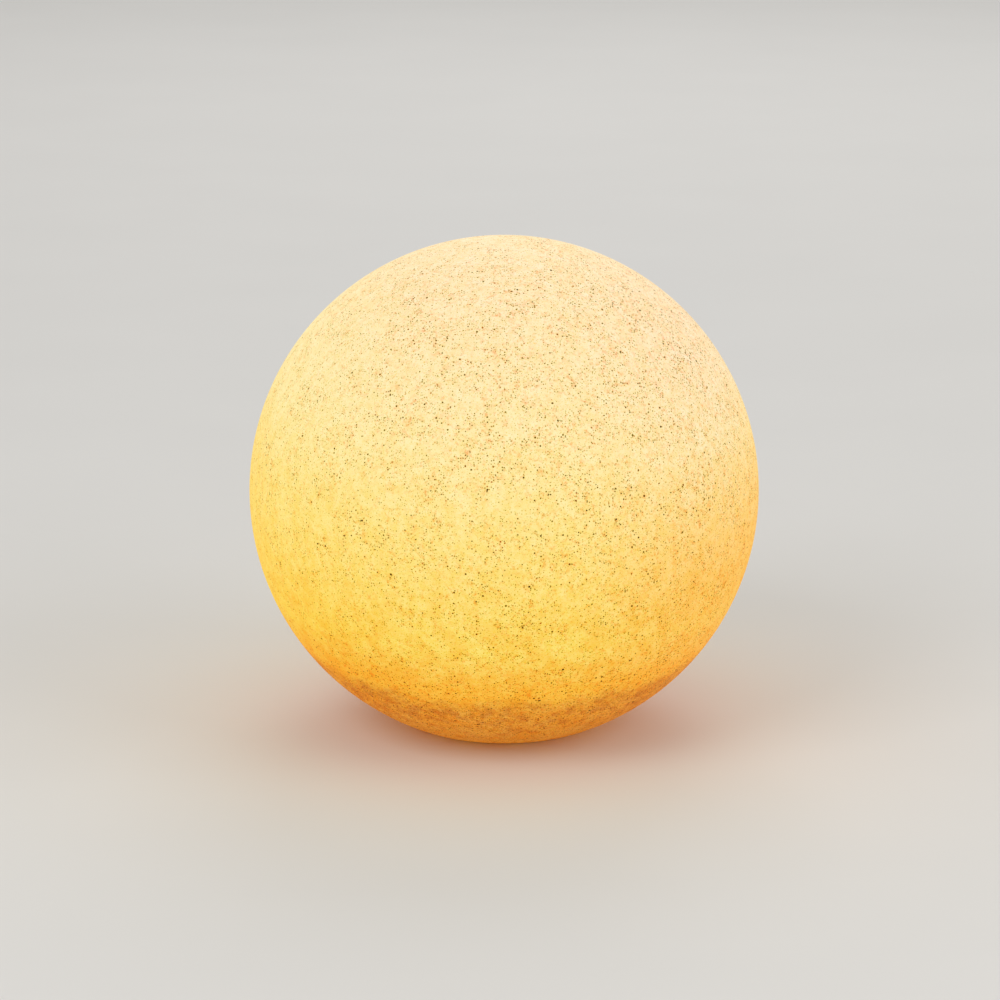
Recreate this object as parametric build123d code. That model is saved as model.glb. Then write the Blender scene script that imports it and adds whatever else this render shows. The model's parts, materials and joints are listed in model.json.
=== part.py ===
"""Garden globe light: a translucent stone-look ball that stands on a recessed base unit.

The ball is one moulded shell, cut flat at the bottom, with a neck that the lamp passes through.
The base unit is a moulded tray that fills the neck. It holds the cable gland, the mains terminal
and, on its plate, the lamp holder with a screw-in LED lamp. Three screws under the tray hold the
ball, which lifts straight off once they are out.

Millimetres, +Z up. The origin is on the ground below the centre of the ball. The cord leaves towards +Y.
"""

from build123d import *
import math
import os

# ------------------------------------------------------------------ driving sizes
# Ball
globe_diameter = 300.0
globe_wall = 3.0
rebate_diameter = 103.2  # recess in the flat, which takes the base unit's flange
rebate_depth = 7.5
flat_land = 6.0  # from the recess to the circle in which the ball is cut flat
lip_rounding = 10.0
neck_ledge = 9.6  # width of the recess's ceiling, up to the neck's bore
neck_height = 12.5  # above the recess's ceiling
globe_boss_radius = 5.0
globe_boss_height = 12.0

# Base tray
foot_proud = 2.0
flange_clearance = 0.3
flange_skin = 2.2
flange_skirt = 2.2
plug_clearance = 1.0
plug_wall = 2.5
plug_height = 26.0  # from the underside to the wall's top edge
tray_floor = 2.5
rib_thickness = 1.6
rib_recess = 0.8
rib_count = 24

# Gasket, feet and base screws
gasket_thickness = 1.0
gasket_gap = 0.1
gasket_margin = 0.6
foot_diameter = 11.0
foot_thickness = 3.5
foot_play = 0.1
foot_draft = 0.8
foot_inset = 6.7  # centre to the recess's side
foot_pad_wall = 1.0
foot_angles = (45, 135, 225, 315)
base_screw_angles = (30, 150, 270)
base_screw_radius = 2.0
base_screw_length = 16.0
screw_play = 0.2
countersink_radius = 3.9
countersink_depth = 2.2
screw_head_sink = 0.1
screw_column_wall = 0.9
screw_recess_radius = 1.3
screw_recess_depth = 1.4
insert_radius = 2.9
insert_length = 8.0

# Ground spike sockets
spike_angles = (60, 180, 300)
spike_inset = 9.0  # centre to the neck's bore
spike_hole_radius = 2.6
spike_hole_depth = 12.0
spike_boss_wall = 2.0

# Cord way
cord_diameter = 6.0
cord_slot_play = 1.0  # each side
pocket_half_width = 10.5
pocket_wall = 2.2
pocket_end_y = -8.0  # face of the end wall that the gland stands on
pocket_roof_play = 0.9
slot_run_in = 5.0  # stretch of the slot inside the pocket

# Cable gland, size M12
gland_thread_radius = 6.0
gland_across_flats = 15.0
lock_nut_floor_gap = 0.3
gland_washer_thickness = 1.0
gland_washer_radius = 7.3
gland_hex_length = 5.0
gland_neck_length = 6.5
gland_neck_radius = 5.6
gland_inner_length = 6.5  # thread past the wall
gland_lower_bore = 3.5
gland_cage_radius = 5.3
gland_cage_length = 4.5
gland_finger_count = 8
gland_finger_slot = 0.9
gland_finger_tip = 0.4  # thickness of a finger at its tip
gland_finger_root = 0.5
gland_seal_wall = 1.3
gland_seal_length = 9.0
gland_seal_play = 0.1
gland_play = 0.1
gland_nut_gap = 0.8
gland_nut_length = 14.5
gland_nut_skirt = 8.0
gland_nut_mouth = 3.6
gland_nut_rim = 1.4
gland_nut_dome_share = 0.62  # height at which the dome's arc turns in
gland_nut_dome_inset = 1.1
gland_cage_play = 0.2
lock_nut_across_flats = 15.0
lock_nut_thickness = 3.0

# Mains terminal
terminal_wall_gap = 4.5  # between the block and the chamber's wall
terminal_centre_y = -2.0
terminal_width = 16.0
terminal_length = 20.0
terminal_height = 14.5
terminal_rounding = 1.2
terminal_pitch = 8.4
terminal_stand = 2.5
terminal_stand_margin = 1.5
terminal_wire_height = 5.0  # wire hole above the block's foot
barrel_radius = 2.7
barrel_bore = 1.6
barrel_length = 17.0
clamp_screw_spacing = 10.0
clamp_screw_radius = 1.4
clamp_head_radius = 1.9
clamp_head_depth = 3.0  # top of the head below the block's top
clamp_head_length = 2.6
slot_width = 0.6
slot_depth = 0.8
cross_bar_share = 0.45  # half width of a cross recess's bars, over its radius
terminal_screw_radius = 1.4
terminal_screw_head = 2.3
terminal_screw_head_height = 1.6
terminal_screw_depth = 3.5  # thread in the stand and floor

# Lamp plate
seal_thickness = 1.0
seal_margin = 0.1
plate_thickness = 2.5
plate_margin = 0.2
plate_rim_height = 1.4
plate_rim_width = 1.6
plate_lead_hole = 12.0
plate_screw_angles = (90, 210, 330)
plate_screw_inset = 7.8  # centre to the neck's bore
plate_screw_radius = 1.5
plate_screw_head = 3.0
plate_screw_head_height = 2.0
plate_screw_length = 8.0
plate_boss_wall = 2.4
plate_rib_thickness = 1.5
plate_rib_setback = 4.0
plate_rib_depth = 2.5
plate_rib_count = 6
ear_boss_floor = 1.0  # below the holder screw's tip

# Lamp holder, size E27
holder_foot_radius = 24.0
holder_foot_thickness = 2.6
holder_ear_spacing = 52.0
holder_ear_radius = 4.6
holder_screw_radius = 1.7
holder_screw_head = 3.2
holder_screw_head_height = 2.2
holder_screw_length = 10.0
holder_cup_radius = 20.0
holder_cup_wall = 2.0
holder_cup_height = 13.5
insert_disc_height = 7.5
insert_step_depth = 2.5
insert_disc_play = 0.3
insert_ledge_height = 8.5  # insert's underside above the plate
holder_sleeve_gap = 0.2
holder_sleeve_wall = 1.8
holder_sleeve_overlap = 7.0
holder_sleeve_height = 34.0
holder_sleeve_top_radius = 18.6
holder_mouth_lip = 2.2
sleeve_mouth_play = 0.3
sleeve_shoulder_play = 0.5
sleeve_top_chamfer = 1.5
holder_rib_count = 24
holder_rib_setback = 0.8
holder_rib_height = 14.0
holder_rib_radius = 0.9
shell_bore = 13.5
shell_wall = 0.6
shell_height = 20.0
shell_floor_bore = 9.6
tongue_width = 5.0
tongue_thickness = 0.5
tongue_rise = 2.1
tongue_reach = 8.5
tongue_foot_length = 3.5
tongue_tip_length = 4.0
side_tongue_width = 4.0
side_tongue_height = 6.5
side_toe_margin = 0.5
terminal_cube = 6.0
terminal_cube_play = 0.3
terminal_cube_spacing = 16.0
terminal_cube_depth = 6.5
terminal_cube_seat = 1.5  # depth of the pocket in the insert
terminal_cube_bore = 3.0
cube_screw_height = 2.5  # screw's axis above the terminal's underside
cube_screw_radius = 1.3
cube_screw_head = 2.0
cube_screw_head_height = 1.4

# LED lamp, shape A60
lamp_length = 110.0
lamp_dome_radius = 30.0
lamp_dome_wall = 1.2
lamp_dome_lean = 0.2  # outward lean of the dome's side where it meets the housing
lamp_dome_base_radius = 28.4
lamp_dome_base_height = 63.0  # above the eyelet's tip
lamp_housing_wall = 1.6
lamp_housing_low_radius = 13.9
lamp_housing_bulge = 2.6
lamp_spigot_length = 8.0
lamp_spigot_play = 0.05
lamp_ledge_width = 3.5
lamp_ledge_thickness = 1.6
cap_radius = 13.1
cap_wall = 0.6
cap_low_height = 4.5
cap_height = 24.0
insulator_low_radius = 6.5
insulator_top_radius = 11.6
eyelet_radius = 4.6
eyelet_height = 1.6
eyelet_stem_radius = 3.2
led_board_margin = 2.0  # inside the dome's foot
led_board_thickness = 1.4
led_size = 3.2
led_height = 0.8
led_outer_count = 12
led_outer_radius = 18.5
led_inner_count = 6
led_inner_radius = 9.0
driver_width = 17.0
driver_height = 30.0
driver_thickness = 1.4
driver_capacitor_radius = 4.2
driver_capacitor_length = 13.0
driver_capacitor_offset = 3.0
driver_edge = 2.0
driver_coil_size = 9.0
driver_coil_rounding = 1.0

# Internal leads
lead_diameter = 1.8
wire_play = 0.1
lead_in_barrel = 3.0  # inner end, from the middle of the terminal block
lead_in_cube = 2.5
lead_run_out = 6.0  # straight stretch past the terminal block
lead_loop = 3.0  # further reach of the turn
lead_lean = 1.8  # sideways shift in the turn
lead_wall_gap = 1.2  # inner lead's axis to the pocket's wall, where its rise ends
lead_approach = 2.5  # sideways, before the turn into the holder's terminal
lead_plate_gap = 2.5  # axis below the plate's underside
lead_rise = 4.0  # height of that turn
lead_bend_share = 0.45  # of the shorter run beside a bend, taken by its arc

# ------------------------------------------------------------------ sizes worked out
ball_radius = globe_diameter / 2
ball_inner_radius = ball_radius - globe_wall
rebate_radius = rebate_diameter / 2
flat_radius = rebate_radius + flat_land
neck_radius = rebate_radius - neck_ledge
lip_z = foot_proud
ball_z = lip_z + math.sqrt(ball_radius**2 - flat_radius**2)
ceiling_z = lip_z + rebate_depth
inner_floor_z = ceiling_z + globe_wall
neck_top_z = ceiling_z + neck_height
fold_radius = rebate_radius + globe_wall
lip_floor_z = lip_z + globe_wall
lip_floor_radius = math.sqrt(ball_inner_radius**2 - (ball_z - lip_floor_z) ** 2)

tray_z = lip_z
flange_top_z = ceiling_z - gasket_gap - gasket_thickness
flange_radius = rebate_radius - flange_clearance
plug_radius = neck_radius - plug_clearance
chamber_radius = plug_radius - plug_wall
floor_top_z = tray_z + tray_floor
plug_top_z = tray_z + plug_height
screw_hole_radius = base_screw_radius + screw_play
foot_pocket = foot_thickness - foot_proud
foot_seat_radius = foot_diameter / 2 + foot_play
foot_circle_radius = rebate_radius - foot_inset
base_screw_circle_radius = rebate_radius - globe_boss_radius
spike_circle_radius = neck_radius - spike_inset

slot_roof_z = flange_top_z - flange_skin
cord_slot_half = cord_diameter / 2 + cord_slot_play
gland_seal_bore = cord_diameter / 2 + gland_seal_play
gland_axis_z = floor_top_z + lock_nut_floor_gap + lock_nut_across_flats / 2
gland_corner_radius = gland_across_flats / math.sqrt(3)
pocket_roof_z = gland_axis_z + gland_corner_radius + pocket_roof_play
pocket_back_y = pocket_end_y - pocket_wall

terminal_centre_x = chamber_radius - terminal_wall_gap - terminal_width / 2
terminal_stand_z = floor_top_z + terminal_stand
terminal_top_z = terminal_stand_z + terminal_height
terminal_wire_z = terminal_stand_z + terminal_wire_height

plate_z = plug_top_z + seal_thickness
plate_top_z = plate_z + plate_thickness
plate_radius = plug_radius - plate_margin
plate_screw_circle_radius = neck_radius - plate_screw_inset

holder_z = plate_top_z
insert_z = holder_z + insert_ledge_height
insert_top_z = insert_z + insert_disc_height
insert_step_z = insert_top_z - insert_step_depth
shell_outer_radius = shell_bore + shell_wall
cube_top_z = insert_z + terminal_cube_seat
cube_z = cube_top_z - terminal_cube_depth
cup_inner_radius = holder_cup_radius - holder_cup_wall
insert_disc_radius = cup_inner_radius - insert_disc_play
cup_top_z = holder_z + holder_cup_height
sleeve_low_z = cup_top_z - holder_sleeve_overlap
sleeve_top_z = sleeve_low_z + holder_sleeve_height
sleeve_bore_radius = holder_cup_radius + holder_sleeve_gap
lamp_z = insert_top_z + tongue_rise + tongue_thickness
lamp_top_z = lamp_z + lamp_length
dome_centre_z = lamp_top_z - lamp_dome_radius
dome_base_z = lamp_z + lamp_dome_base_height
led_board_radius = lamp_dome_base_radius - led_board_margin


# ------------------------------------------------------------------ helpers
def rod(radius, low, high):
    """Round bar on the Z axis from one height to another."""
    return Pos(0, 0, low) * Cylinder(radius, high - low, align=(Align.CENTER, Align.CENTER, Align.MIN))


def tube(outer, inner, low, high):
    """Round tube on the Z axis."""
    return rod(outer, low, high) - rod(inner, low, high)


def block(x_low, x_high, y_low, y_high, z_low, z_high):
    """Box between two corners."""
    corner = Pos(x_low, y_low, z_low)
    return corner * Box(x_high - x_low, y_high - y_low, z_high - z_low, align=(Align.MIN,) * 3)


def cone(low_radius, high_radius, low, high):
    """Round taper on the Z axis."""
    shape = Cone(low_radius, high_radius, high - low, align=(Align.CENTER, Align.CENTER, Align.MIN))
    return Pos(0, 0, low) * shape


def hexagon(across_flats, low, high):
    """Hexagonal bar on the Z axis, flats towards +Y and -Y."""
    outline = RegularPolygon(across_flats / 2, 6, major_radius=False)
    return Pos(0, 0, low) * extrude(outline, high - low)


def turned(*edges):
    """Solid of revolution about Z, from a closed outline of (radius, height) edges."""
    return revolve(Plane.XZ * make_face(Curve() + list(edges)), Axis.Z)


def around(radius, angles):
    """Places on a circle about Z, each turned to face outwards."""
    return [Rot(0, 0, angle) * Pos(radius, 0, 0) for angle in angles]


def even_angles(count):
    """Evenly spaced angles from zero."""
    return [index * 360 / count for index in range(count)]


def pattern(shape, places):
    """One copy of a shape at each place, as a list."""
    return [place * shape for place in places]


screw_places = around(base_screw_circle_radius, base_screw_angles)
foot_places = around(foot_circle_radius, foot_angles)
spike_places = around(spike_circle_radius, spike_angles)
plate_screw_places = around(plate_screw_circle_radius, plate_screw_angles)
ear_places = around(holder_ear_spacing / 2, (0, 180))
cube_places = around(terminal_cube_spacing / 2, (0, 180))
terminal_place = Pos(terminal_centre_x, terminal_centre_y, 0)
cube_screw_place = Pos(0, 0, cube_z + cube_screw_height) * Rot(90, 0, 0)


def cross_recess(radius, low, high):
    """Cross-shaped driver recess between two heights."""
    bar = radius * cross_bar_share
    return block(-radius, radius, -bar, bar, low, high) + block(-bar, bar, -radius, radius, low, high)


def slot_recess(radius, depth, top):
    """Slot across a screw head, cut down from the given height."""
    reach = radius + 1
    return block(-reach, reach, -slot_width / 2, slot_width / 2, top - depth, top + 1)


# ------------------------------------------------------------------ ball
def globe_shell():
    """One moulded skin: ball, lip, recess, neck and bosses."""
    top = ball_z + ball_radius
    inner_top = ball_z + ball_inner_radius
    lip_centre_z = lip_z + lip_rounding
    lip_centre = math.sqrt((ball_radius - lip_rounding) ** 2 - (ball_z - lip_centre_z) ** 2)
    lean = math.atan2(lip_centre, ball_z - lip_centre_z)
    lip_start = (ball_radius * math.sin(lean), ball_z - ball_radius * math.cos(lean))
    lip_middle = (
        lip_centre + lip_rounding * math.sin(lean / 2),
        lip_centre_z - lip_rounding * math.cos(lean / 2),
    )
    skin = turned(
        ThreePointArc((0, top), (ball_radius, ball_z), lip_start),
        ThreePointArc(lip_start, lip_middle, (lip_centre, lip_z)),
        Polyline(
            (lip_centre, lip_z),
            (rebate_radius, lip_z),
            (rebate_radius, ceiling_z),
            (neck_radius, ceiling_z),
            (neck_radius, neck_top_z),
            (neck_radius + globe_wall, neck_top_z),
            (neck_radius + globe_wall, inner_floor_z),
            (fold_radius, inner_floor_z),
            (fold_radius, lip_floor_z),
            (lip_floor_radius, lip_floor_z),
        ),
        ThreePointArc((lip_floor_radius, lip_floor_z), (ball_inner_radius, ball_z), (0, inner_top)),
        Line((0, inner_top), (0, top)),
    )
    boss = rod(globe_boss_radius, ceiling_z + globe_wall / 2, ceiling_z + globe_boss_height)
    skin += pattern(boss, screw_places)
    skin += cable_arch_block()
    skin -= rod(neck_radius, lip_z, neck_top_z + 1)
    bore = rod(insert_radius, ceiling_z - 1, ceiling_z + globe_boss_height - globe_wall / 2)
    skin -= pattern(bore, screw_places)
    return skin - cable_arch_opening()


def cable_arch_block():
    """Solid stretch of the lip that the cord's arch is cut in."""
    half = cord_slot_half + globe_wall
    stretch = block(-half, half, rebate_radius, ball_radius, lip_z, slot_roof_z + globe_wall)
    return stretch & Pos(0, 0, ball_z) * Sphere(ball_radius - globe_wall / 2)


def cable_arch_opening():
    """Round-topped way for the cord through the lip."""
    crown_z = slot_roof_z - cord_slot_half
    start = rebate_radius - 1
    crown = Pos(0, start, crown_z) * Rot(-90, 0, 0) * rod(cord_slot_half, 0, ball_radius)
    return crown + block(-cord_slot_half, cord_slot_half, start, ball_radius, lip_z - 1, crown_z)


def threaded_inserts():
    """Brass inserts in the ball's bosses."""
    low = ceiling_z
    high = low + insert_length
    sleeve = tube(insert_radius, screw_hole_radius, low, high)
    return Part() + pattern(sleeve, screw_places)


# ------------------------------------------------------------------ base tray
def base_tray():
    """Moulding that plugs the neck: flange, chamber, gland pocket, bosses and ribs."""
    tray = rod(plug_radius, tray_z, plug_top_z) - rod(chamber_radius, floor_top_z, plug_top_z)
    tray += tube(flange_radius, plug_radius - plug_wall / 2, slot_roof_z, flange_top_z)
    tray += tube(flange_radius, flange_radius - flange_skirt, tray_z, flange_top_z)
    tray += flange_ribs()
    flange = rod(flange_radius, tray_z, flange_top_z)
    column = rod(countersink_radius + screw_column_wall, tray_z, flange_top_z)
    pad = rod(foot_seat_radius + foot_pad_wall, tray_z, flange_top_z)
    tray += [column & flange for column in pattern(column, screw_places)]
    tray += [pad & flange for pad in pattern(pad, foot_places)]
    tray += gland_tunnel()
    tray += chamber_bosses()
    return tray - tray_openings()


def flange_ribs():
    """Radial ribs in the groove under the flange."""
    half = rib_thickness / 2
    inner = plug_radius - plug_wall / 2
    outer = flange_radius - flange_skirt / 2
    rib = block(inner, outer, -half, half, tray_z + rib_recess, slot_roof_z + flange_skin / 2)
    return [Rot(0, 0, angle) * rib for angle in even_angles(rib_count)]


def gland_tunnel():
    """Walls and roof of the pocket that holds the gland, standing in the chamber."""
    half = pocket_half_width + pocket_wall
    shape = block(-half, half, pocket_back_y, plug_radius, tray_z, pocket_roof_z + pocket_wall)
    return shape & rod(plug_radius - plug_wall / 2, tray_z, plug_top_z)


def chamber_bosses():
    """Bosses in the chamber: plate screws, spike sockets and the terminal's stand."""
    inside = rod(plug_radius - plug_wall / 2, tray_z, plate_z)
    plate_boss = rod(plate_screw_radius + plate_boss_wall, tray_z + tray_floor / 2, plate_z)
    bosses = [boss & inside for boss in pattern(plate_boss, plate_screw_places)]
    spike_top = tray_z + spike_hole_depth + spike_boss_wall
    bosses += pattern(rod(spike_hole_radius + spike_boss_wall, tray_z, spike_top), spike_places)
    half_width = terminal_width / 2 - terminal_stand_margin
    half_length = terminal_length / 2 - terminal_stand_margin
    stand = block(
        -half_width, half_width, -half_length, half_length, tray_z + tray_floor / 2, terminal_stand_z
    )
    return bosses + [terminal_place * stand]


def tray_openings():
    """Everything cut out of the tray."""
    below = tray_z - 1
    half = pocket_half_width
    pocket = block(-half, half, pocket_end_y, plug_radius, below, pocket_roof_z)
    pocket &= rod(chamber_radius, below, plug_top_z)
    half = cord_slot_half
    slot = block(-half, half, chamber_radius - slot_run_in, flange_radius + 1, below, slot_roof_z)
    gland_hole = gland_place * rod(gland_thread_radius + gland_play, -pocket_wall - 1, 1)
    screw_way = rod(screw_hole_radius, below, flange_top_z + 1)
    screw_way += cone(countersink_radius, screw_hole_radius, tray_z, tray_z + countersink_depth)
    foot_seat = rod(foot_seat_radius, below, tray_z + foot_pocket)
    spike_way = rod(spike_hole_radius, below, tray_z + spike_hole_depth)
    plate_way = rod(plate_screw_radius, plate_top_z - plate_screw_length, plate_z + 1)
    fixing = rod(terminal_screw_radius, terminal_stand_z - terminal_screw_depth, terminal_stand_z + 1)
    cuts = [pocket, slot, gland_hole, terminal_place * fixing]
    cuts += pattern(screw_way, screw_places)
    cuts += pattern(foot_seat, foot_places)
    cuts += pattern(spike_way, spike_places)
    return cuts + pattern(plate_way, plate_screw_places)


def base_gasket():
    """Flat ring between the flange and the recess's ceiling."""
    low = flange_top_z
    high = low + gasket_thickness
    ring = tube(flange_radius - gasket_margin, neck_radius + gasket_margin, low, high)
    return ring - pattern(rod(screw_hole_radius, low - 1, high + 1), screw_places)


def rubber_feet():
    """Feet, pushed into the tray's seats."""
    radius = foot_diameter / 2
    foot = rod(radius, foot_proud, foot_thickness) + cone(radius - foot_draft, radius, 0, foot_proud)
    return Part() + pattern(foot, foot_places)


def base_screws():
    """Countersunk screws from below, through the flange into the ball's inserts."""
    low = tray_z + screw_head_sink
    screw = rod(base_screw_radius, low, low + base_screw_length)
    head_radius = countersink_radius - screw_head_sink
    screw += cone(head_radius, base_screw_radius, low, tray_z + countersink_depth)
    screw -= cross_recess(screw_recess_radius, low - 1, low + screw_recess_depth)
    return Part() + pattern(screw, screw_places)


# ------------------------------------------------------------------ cable gland
# Built upright, then laid along +Y: height 0 is the pocket's end wall, and the cord leaves upwards.
gland_place = Plane(origin=(0, pocket_end_y, gland_axis_z), x_dir=(1, 0, 0), z_dir=(0, 1, 0)).location
gland_hex_z = gland_washer_thickness
gland_neck_z = gland_hex_z + gland_hex_length
gland_cage_z = gland_neck_z + gland_neck_length
gland_cage_top = gland_cage_z + gland_cage_length
gland_nut_z = gland_neck_z + gland_nut_gap
gland_nut_top = gland_nut_z + gland_nut_length
gland_seat_bore = gland_seal_bore + gland_seal_wall
gland_seal_top = gland_cage_top
gland_seal_z = gland_seal_top - gland_seal_length


def gland_body():
    """Threaded body with its hexagon and the slit cage that grips the seal."""
    thread_low = -pocket_wall - gland_inner_length
    body = rod(gland_thread_radius, thread_low, gland_hex_z)
    body += hexagon(gland_across_flats, gland_hex_z, gland_neck_z)
    body += rod(gland_neck_radius, gland_neck_z, gland_cage_z)
    cage = cone(gland_cage_radius, gland_seat_bore + gland_finger_tip, gland_cage_z, gland_cage_top)
    half = gland_finger_slot / 2
    root_z = gland_cage_z + gland_finger_root
    slot = block(0, gland_cage_radius + 1, -half, half, root_z, gland_cage_top + 1)
    body += cage - [Rot(0, 0, angle) * slot for angle in even_angles(gland_finger_count)]
    body -= rod(gland_lower_bore, thread_low - 1, gland_cage_top)
    body -= rod(gland_seat_bore, gland_seal_z, gland_cage_top + 1)
    return gland_place * body


def gland_seal():
    """Rubber sleeve that closes on the cord."""
    return gland_place * tube(gland_seat_bore, gland_seal_bore, gland_seal_z, gland_seal_top)


def gland_washer():
    """Sealing washer between the gland's hexagon and the wall."""
    bore = gland_thread_radius + gland_play
    return gland_place * tube(gland_washer_radius, bore, 0, gland_washer_thickness)


def gland_dome_nut():
    """Domed nut that presses the cage on the cord."""
    shoulder = gland_nut_z + gland_nut_skirt
    middle_z = shoulder + (gland_nut_top - shoulder) * gland_nut_dome_share
    rim_radius = gland_nut_mouth + gland_nut_rim
    corner = (gland_corner_radius, shoulder)
    middle = (gland_corner_radius - gland_nut_dome_inset, middle_z)
    envelope = turned(
        Polyline((0, gland_nut_z), (gland_corner_radius, gland_nut_z), corner),
        ThreePointArc(corner, middle, (rim_radius, gland_nut_top)),
        Polyline((rim_radius, gland_nut_top), (0, gland_nut_top), (0, gland_nut_z)),
    )
    nut = hexagon(gland_across_flats, gland_nut_z, gland_nut_top) & envelope
    neck_bore = gland_neck_radius + gland_play
    cage_z = gland_cage_z + gland_cage_play
    cage_top = gland_cage_top + gland_cage_play
    nut -= rod(neck_bore, gland_nut_z - 1, cage_z)
    nut -= cone(neck_bore, gland_seat_bore + gland_finger_tip + gland_cage_play, cage_z, cage_top)
    nut -= rod(gland_nut_mouth, gland_nut_z, gland_nut_top + 1)
    return gland_place * nut


def gland_lock_nut():
    """Flat nut on the gland's thread inside the chamber."""
    high = -pocket_wall
    low = high - lock_nut_thickness
    bore = rod(gland_thread_radius + gland_play, low - 1, high + 1)
    return gland_place * (hexagon(lock_nut_across_flats, low, high) - bore)


# ------------------------------------------------------------------ mains terminal
pole_places = [terminal_place * Pos(side * terminal_pitch / 2, 0, 0) for side in (-1, 1)]
clamp_offsets = [Pos(0, side * clamp_screw_spacing / 2, 0) for side in (-1, 1)]
clamp_places = [pole * offset for pole in pole_places for offset in clamp_offsets]
wire_axis = Pos(0, 0, terminal_wire_z) * Rot(90, 0, 0)


def terminal_block():
    """Insulating block with a wire way through each pole."""
    half_width = terminal_width / 2
    half_length = terminal_length / 2
    body = block(-half_width, half_width, -half_length, half_length, terminal_stand_z, terminal_top_z)
    body = terminal_place * fillet(body.edges().filter_by(Axis.Z), terminal_rounding)
    reach = half_length + 1
    barrel_way = wire_axis * rod(barrel_radius, -reach, reach)
    body -= pattern(barrel_way, pole_places)
    screw_way = rod(clamp_head_radius + screw_play, terminal_wire_z, terminal_top_z + 1)
    body -= pattern(screw_way, clamp_places)
    fixing = rod(terminal_screw_radius, terminal_stand_z - 1, terminal_top_z + 1)
    head_way = terminal_screw_head + screw_play
    fixing += rod(head_way, terminal_top_z - terminal_screw_head_height, terminal_top_z + 1)
    return body - terminal_place * fixing


def terminal_barrels():
    """Brass barrels that the wires enter from both ends."""
    half = barrel_length / 2
    barrel = wire_axis * tube(barrel_radius, barrel_bore, -half, half)
    tapping = rod(clamp_screw_radius, terminal_wire_z, terminal_wire_z + barrel_radius + 1)
    return Part() + pattern(barrel, pole_places) - pattern(tapping, clamp_places)


def terminal_screws():
    """Clamp screws of the terminal, slotted, each down on its wire."""
    head_high = terminal_top_z - clamp_head_depth
    head_low = head_high - clamp_head_length
    screw = rod(clamp_head_radius, head_low, head_high)
    screw += rod(clamp_screw_radius, terminal_wire_z + lead_diameter / 2 + wire_play, head_low)
    return Part() + pattern(screw - slot_recess(clamp_head_radius, slot_depth, head_high), clamp_places)


def terminal_fixing_screw():
    """Screw that holds the block on its stand."""
    head_low = terminal_top_z - terminal_screw_head_height
    screw = rod(terminal_screw_radius, terminal_stand_z - terminal_screw_depth, head_low)
    screw += rod(terminal_screw_head, head_low, terminal_top_z)
    recess_z = head_low + terminal_screw_head_height / 2
    return terminal_place * (screw - cross_recess(terminal_screw_head / 2, recess_z, terminal_top_z + 1))


# ------------------------------------------------------------------ lamp plate
def chamber_seal():
    """Flat ring on the chamber wall's edge."""
    return tube(plug_radius - seal_margin, chamber_radius + seal_margin, plug_top_z, plate_z)


def lamp_plate():
    """White lid of the chamber that carries the lamp holder."""
    plate = rod(plate_radius, plate_z, plate_top_z)
    plate += tube(plate_radius, plate_radius - plate_rim_width, plate_z, plate_top_z + plate_rim_height)
    tip_z = plate_top_z + holder_foot_thickness - holder_screw_length
    middle_z = plate_z + plate_thickness / 2
    ear_boss = rod(holder_screw_radius + plate_boss_wall, tip_z - ear_boss_floor, middle_z)
    plate += pattern(ear_boss, ear_places)
    half = plate_rib_thickness / 2
    start = plate_lead_hole + plate_rib_setback
    end = chamber_radius - plate_boss_wall
    rib = block(start, end, -half, half, plate_z - plate_rib_depth, middle_z)
    plate += [Rot(0, 0, angle) * rib for angle in even_angles(plate_rib_count)]
    plate -= rod(plate_lead_hole, plate_z - plate_rib_depth - 1, plate_top_z + 1)
    screw_way = rod(plate_screw_radius + screw_play, plate_z - 1, plate_top_z + 1)
    plate -= pattern(screw_way, plate_screw_places)
    return plate - pattern(rod(holder_screw_radius, tip_z, plate_top_z + 1), ear_places)


def pan_screw(radius, length, head_radius, head_height, seat_z):
    """Pan-head screw, head upwards on the given height."""
    top = seat_z + head_height
    screw = rod(radius, seat_z - length, seat_z) + rod(head_radius, seat_z, top)
    crown = screw.edges().filter_by(GeomType.CIRCLE).group_by(Axis.Z)[-1]
    screw = fillet(crown, head_height / 2)
    return screw - cross_recess(head_radius / 2, seat_z + head_height / 2, top + 1)


def plate_screws():
    """Screws that hold the plate on the tray's bosses."""
    length = plate_screw_length
    screw = pan_screw(plate_screw_radius, length, plate_screw_head, plate_screw_head_height, plate_top_z)
    return Part() + pattern(screw, plate_screw_places)


# ------------------------------------------------------------------ lamp holder
def holder_base():
    """Foot of the lamp holder, with two ears and the cup for the insert."""
    foot_top = holder_z + holder_foot_thickness
    half = holder_ear_radius
    base = rod(holder_foot_radius, holder_z, foot_top) + rod(holder_cup_radius, holder_z, cup_top_z)
    base += pattern(rod(half, holder_z, foot_top), ear_places)
    reach = holder_ear_spacing / 2
    base += block(-reach, reach, -half, half, holder_z, foot_top)
    base -= rod(cup_inner_radius, insert_z, cup_top_z + 1)
    base -= rod(cup_inner_radius - holder_cup_wall, holder_z - 1, insert_z + 1)
    return base - pattern(rod(holder_screw_radius + screw_play, holder_z - 1, foot_top + 1), ear_places)


def holder_screws():
    """Screws through the holder's ears into the plate."""
    seat = holder_z + holder_foot_thickness
    length = holder_screw_length
    screw = pan_screw(holder_screw_radius, length, holder_screw_head, holder_screw_head_height, seat)
    return Part() + pattern(screw, ear_places)


def holder_insert():
    """Ceramic disc that carries the contacts."""
    disc = rod(insert_disc_radius, insert_z, insert_step_z)
    disc += rod(shell_outer_radius, insert_z, insert_top_z)
    half = terminal_cube / 2 + terminal_cube_play
    return disc - pattern(block(-half, half, -half, half, insert_z - 1, cube_top_z), cube_places)


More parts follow.
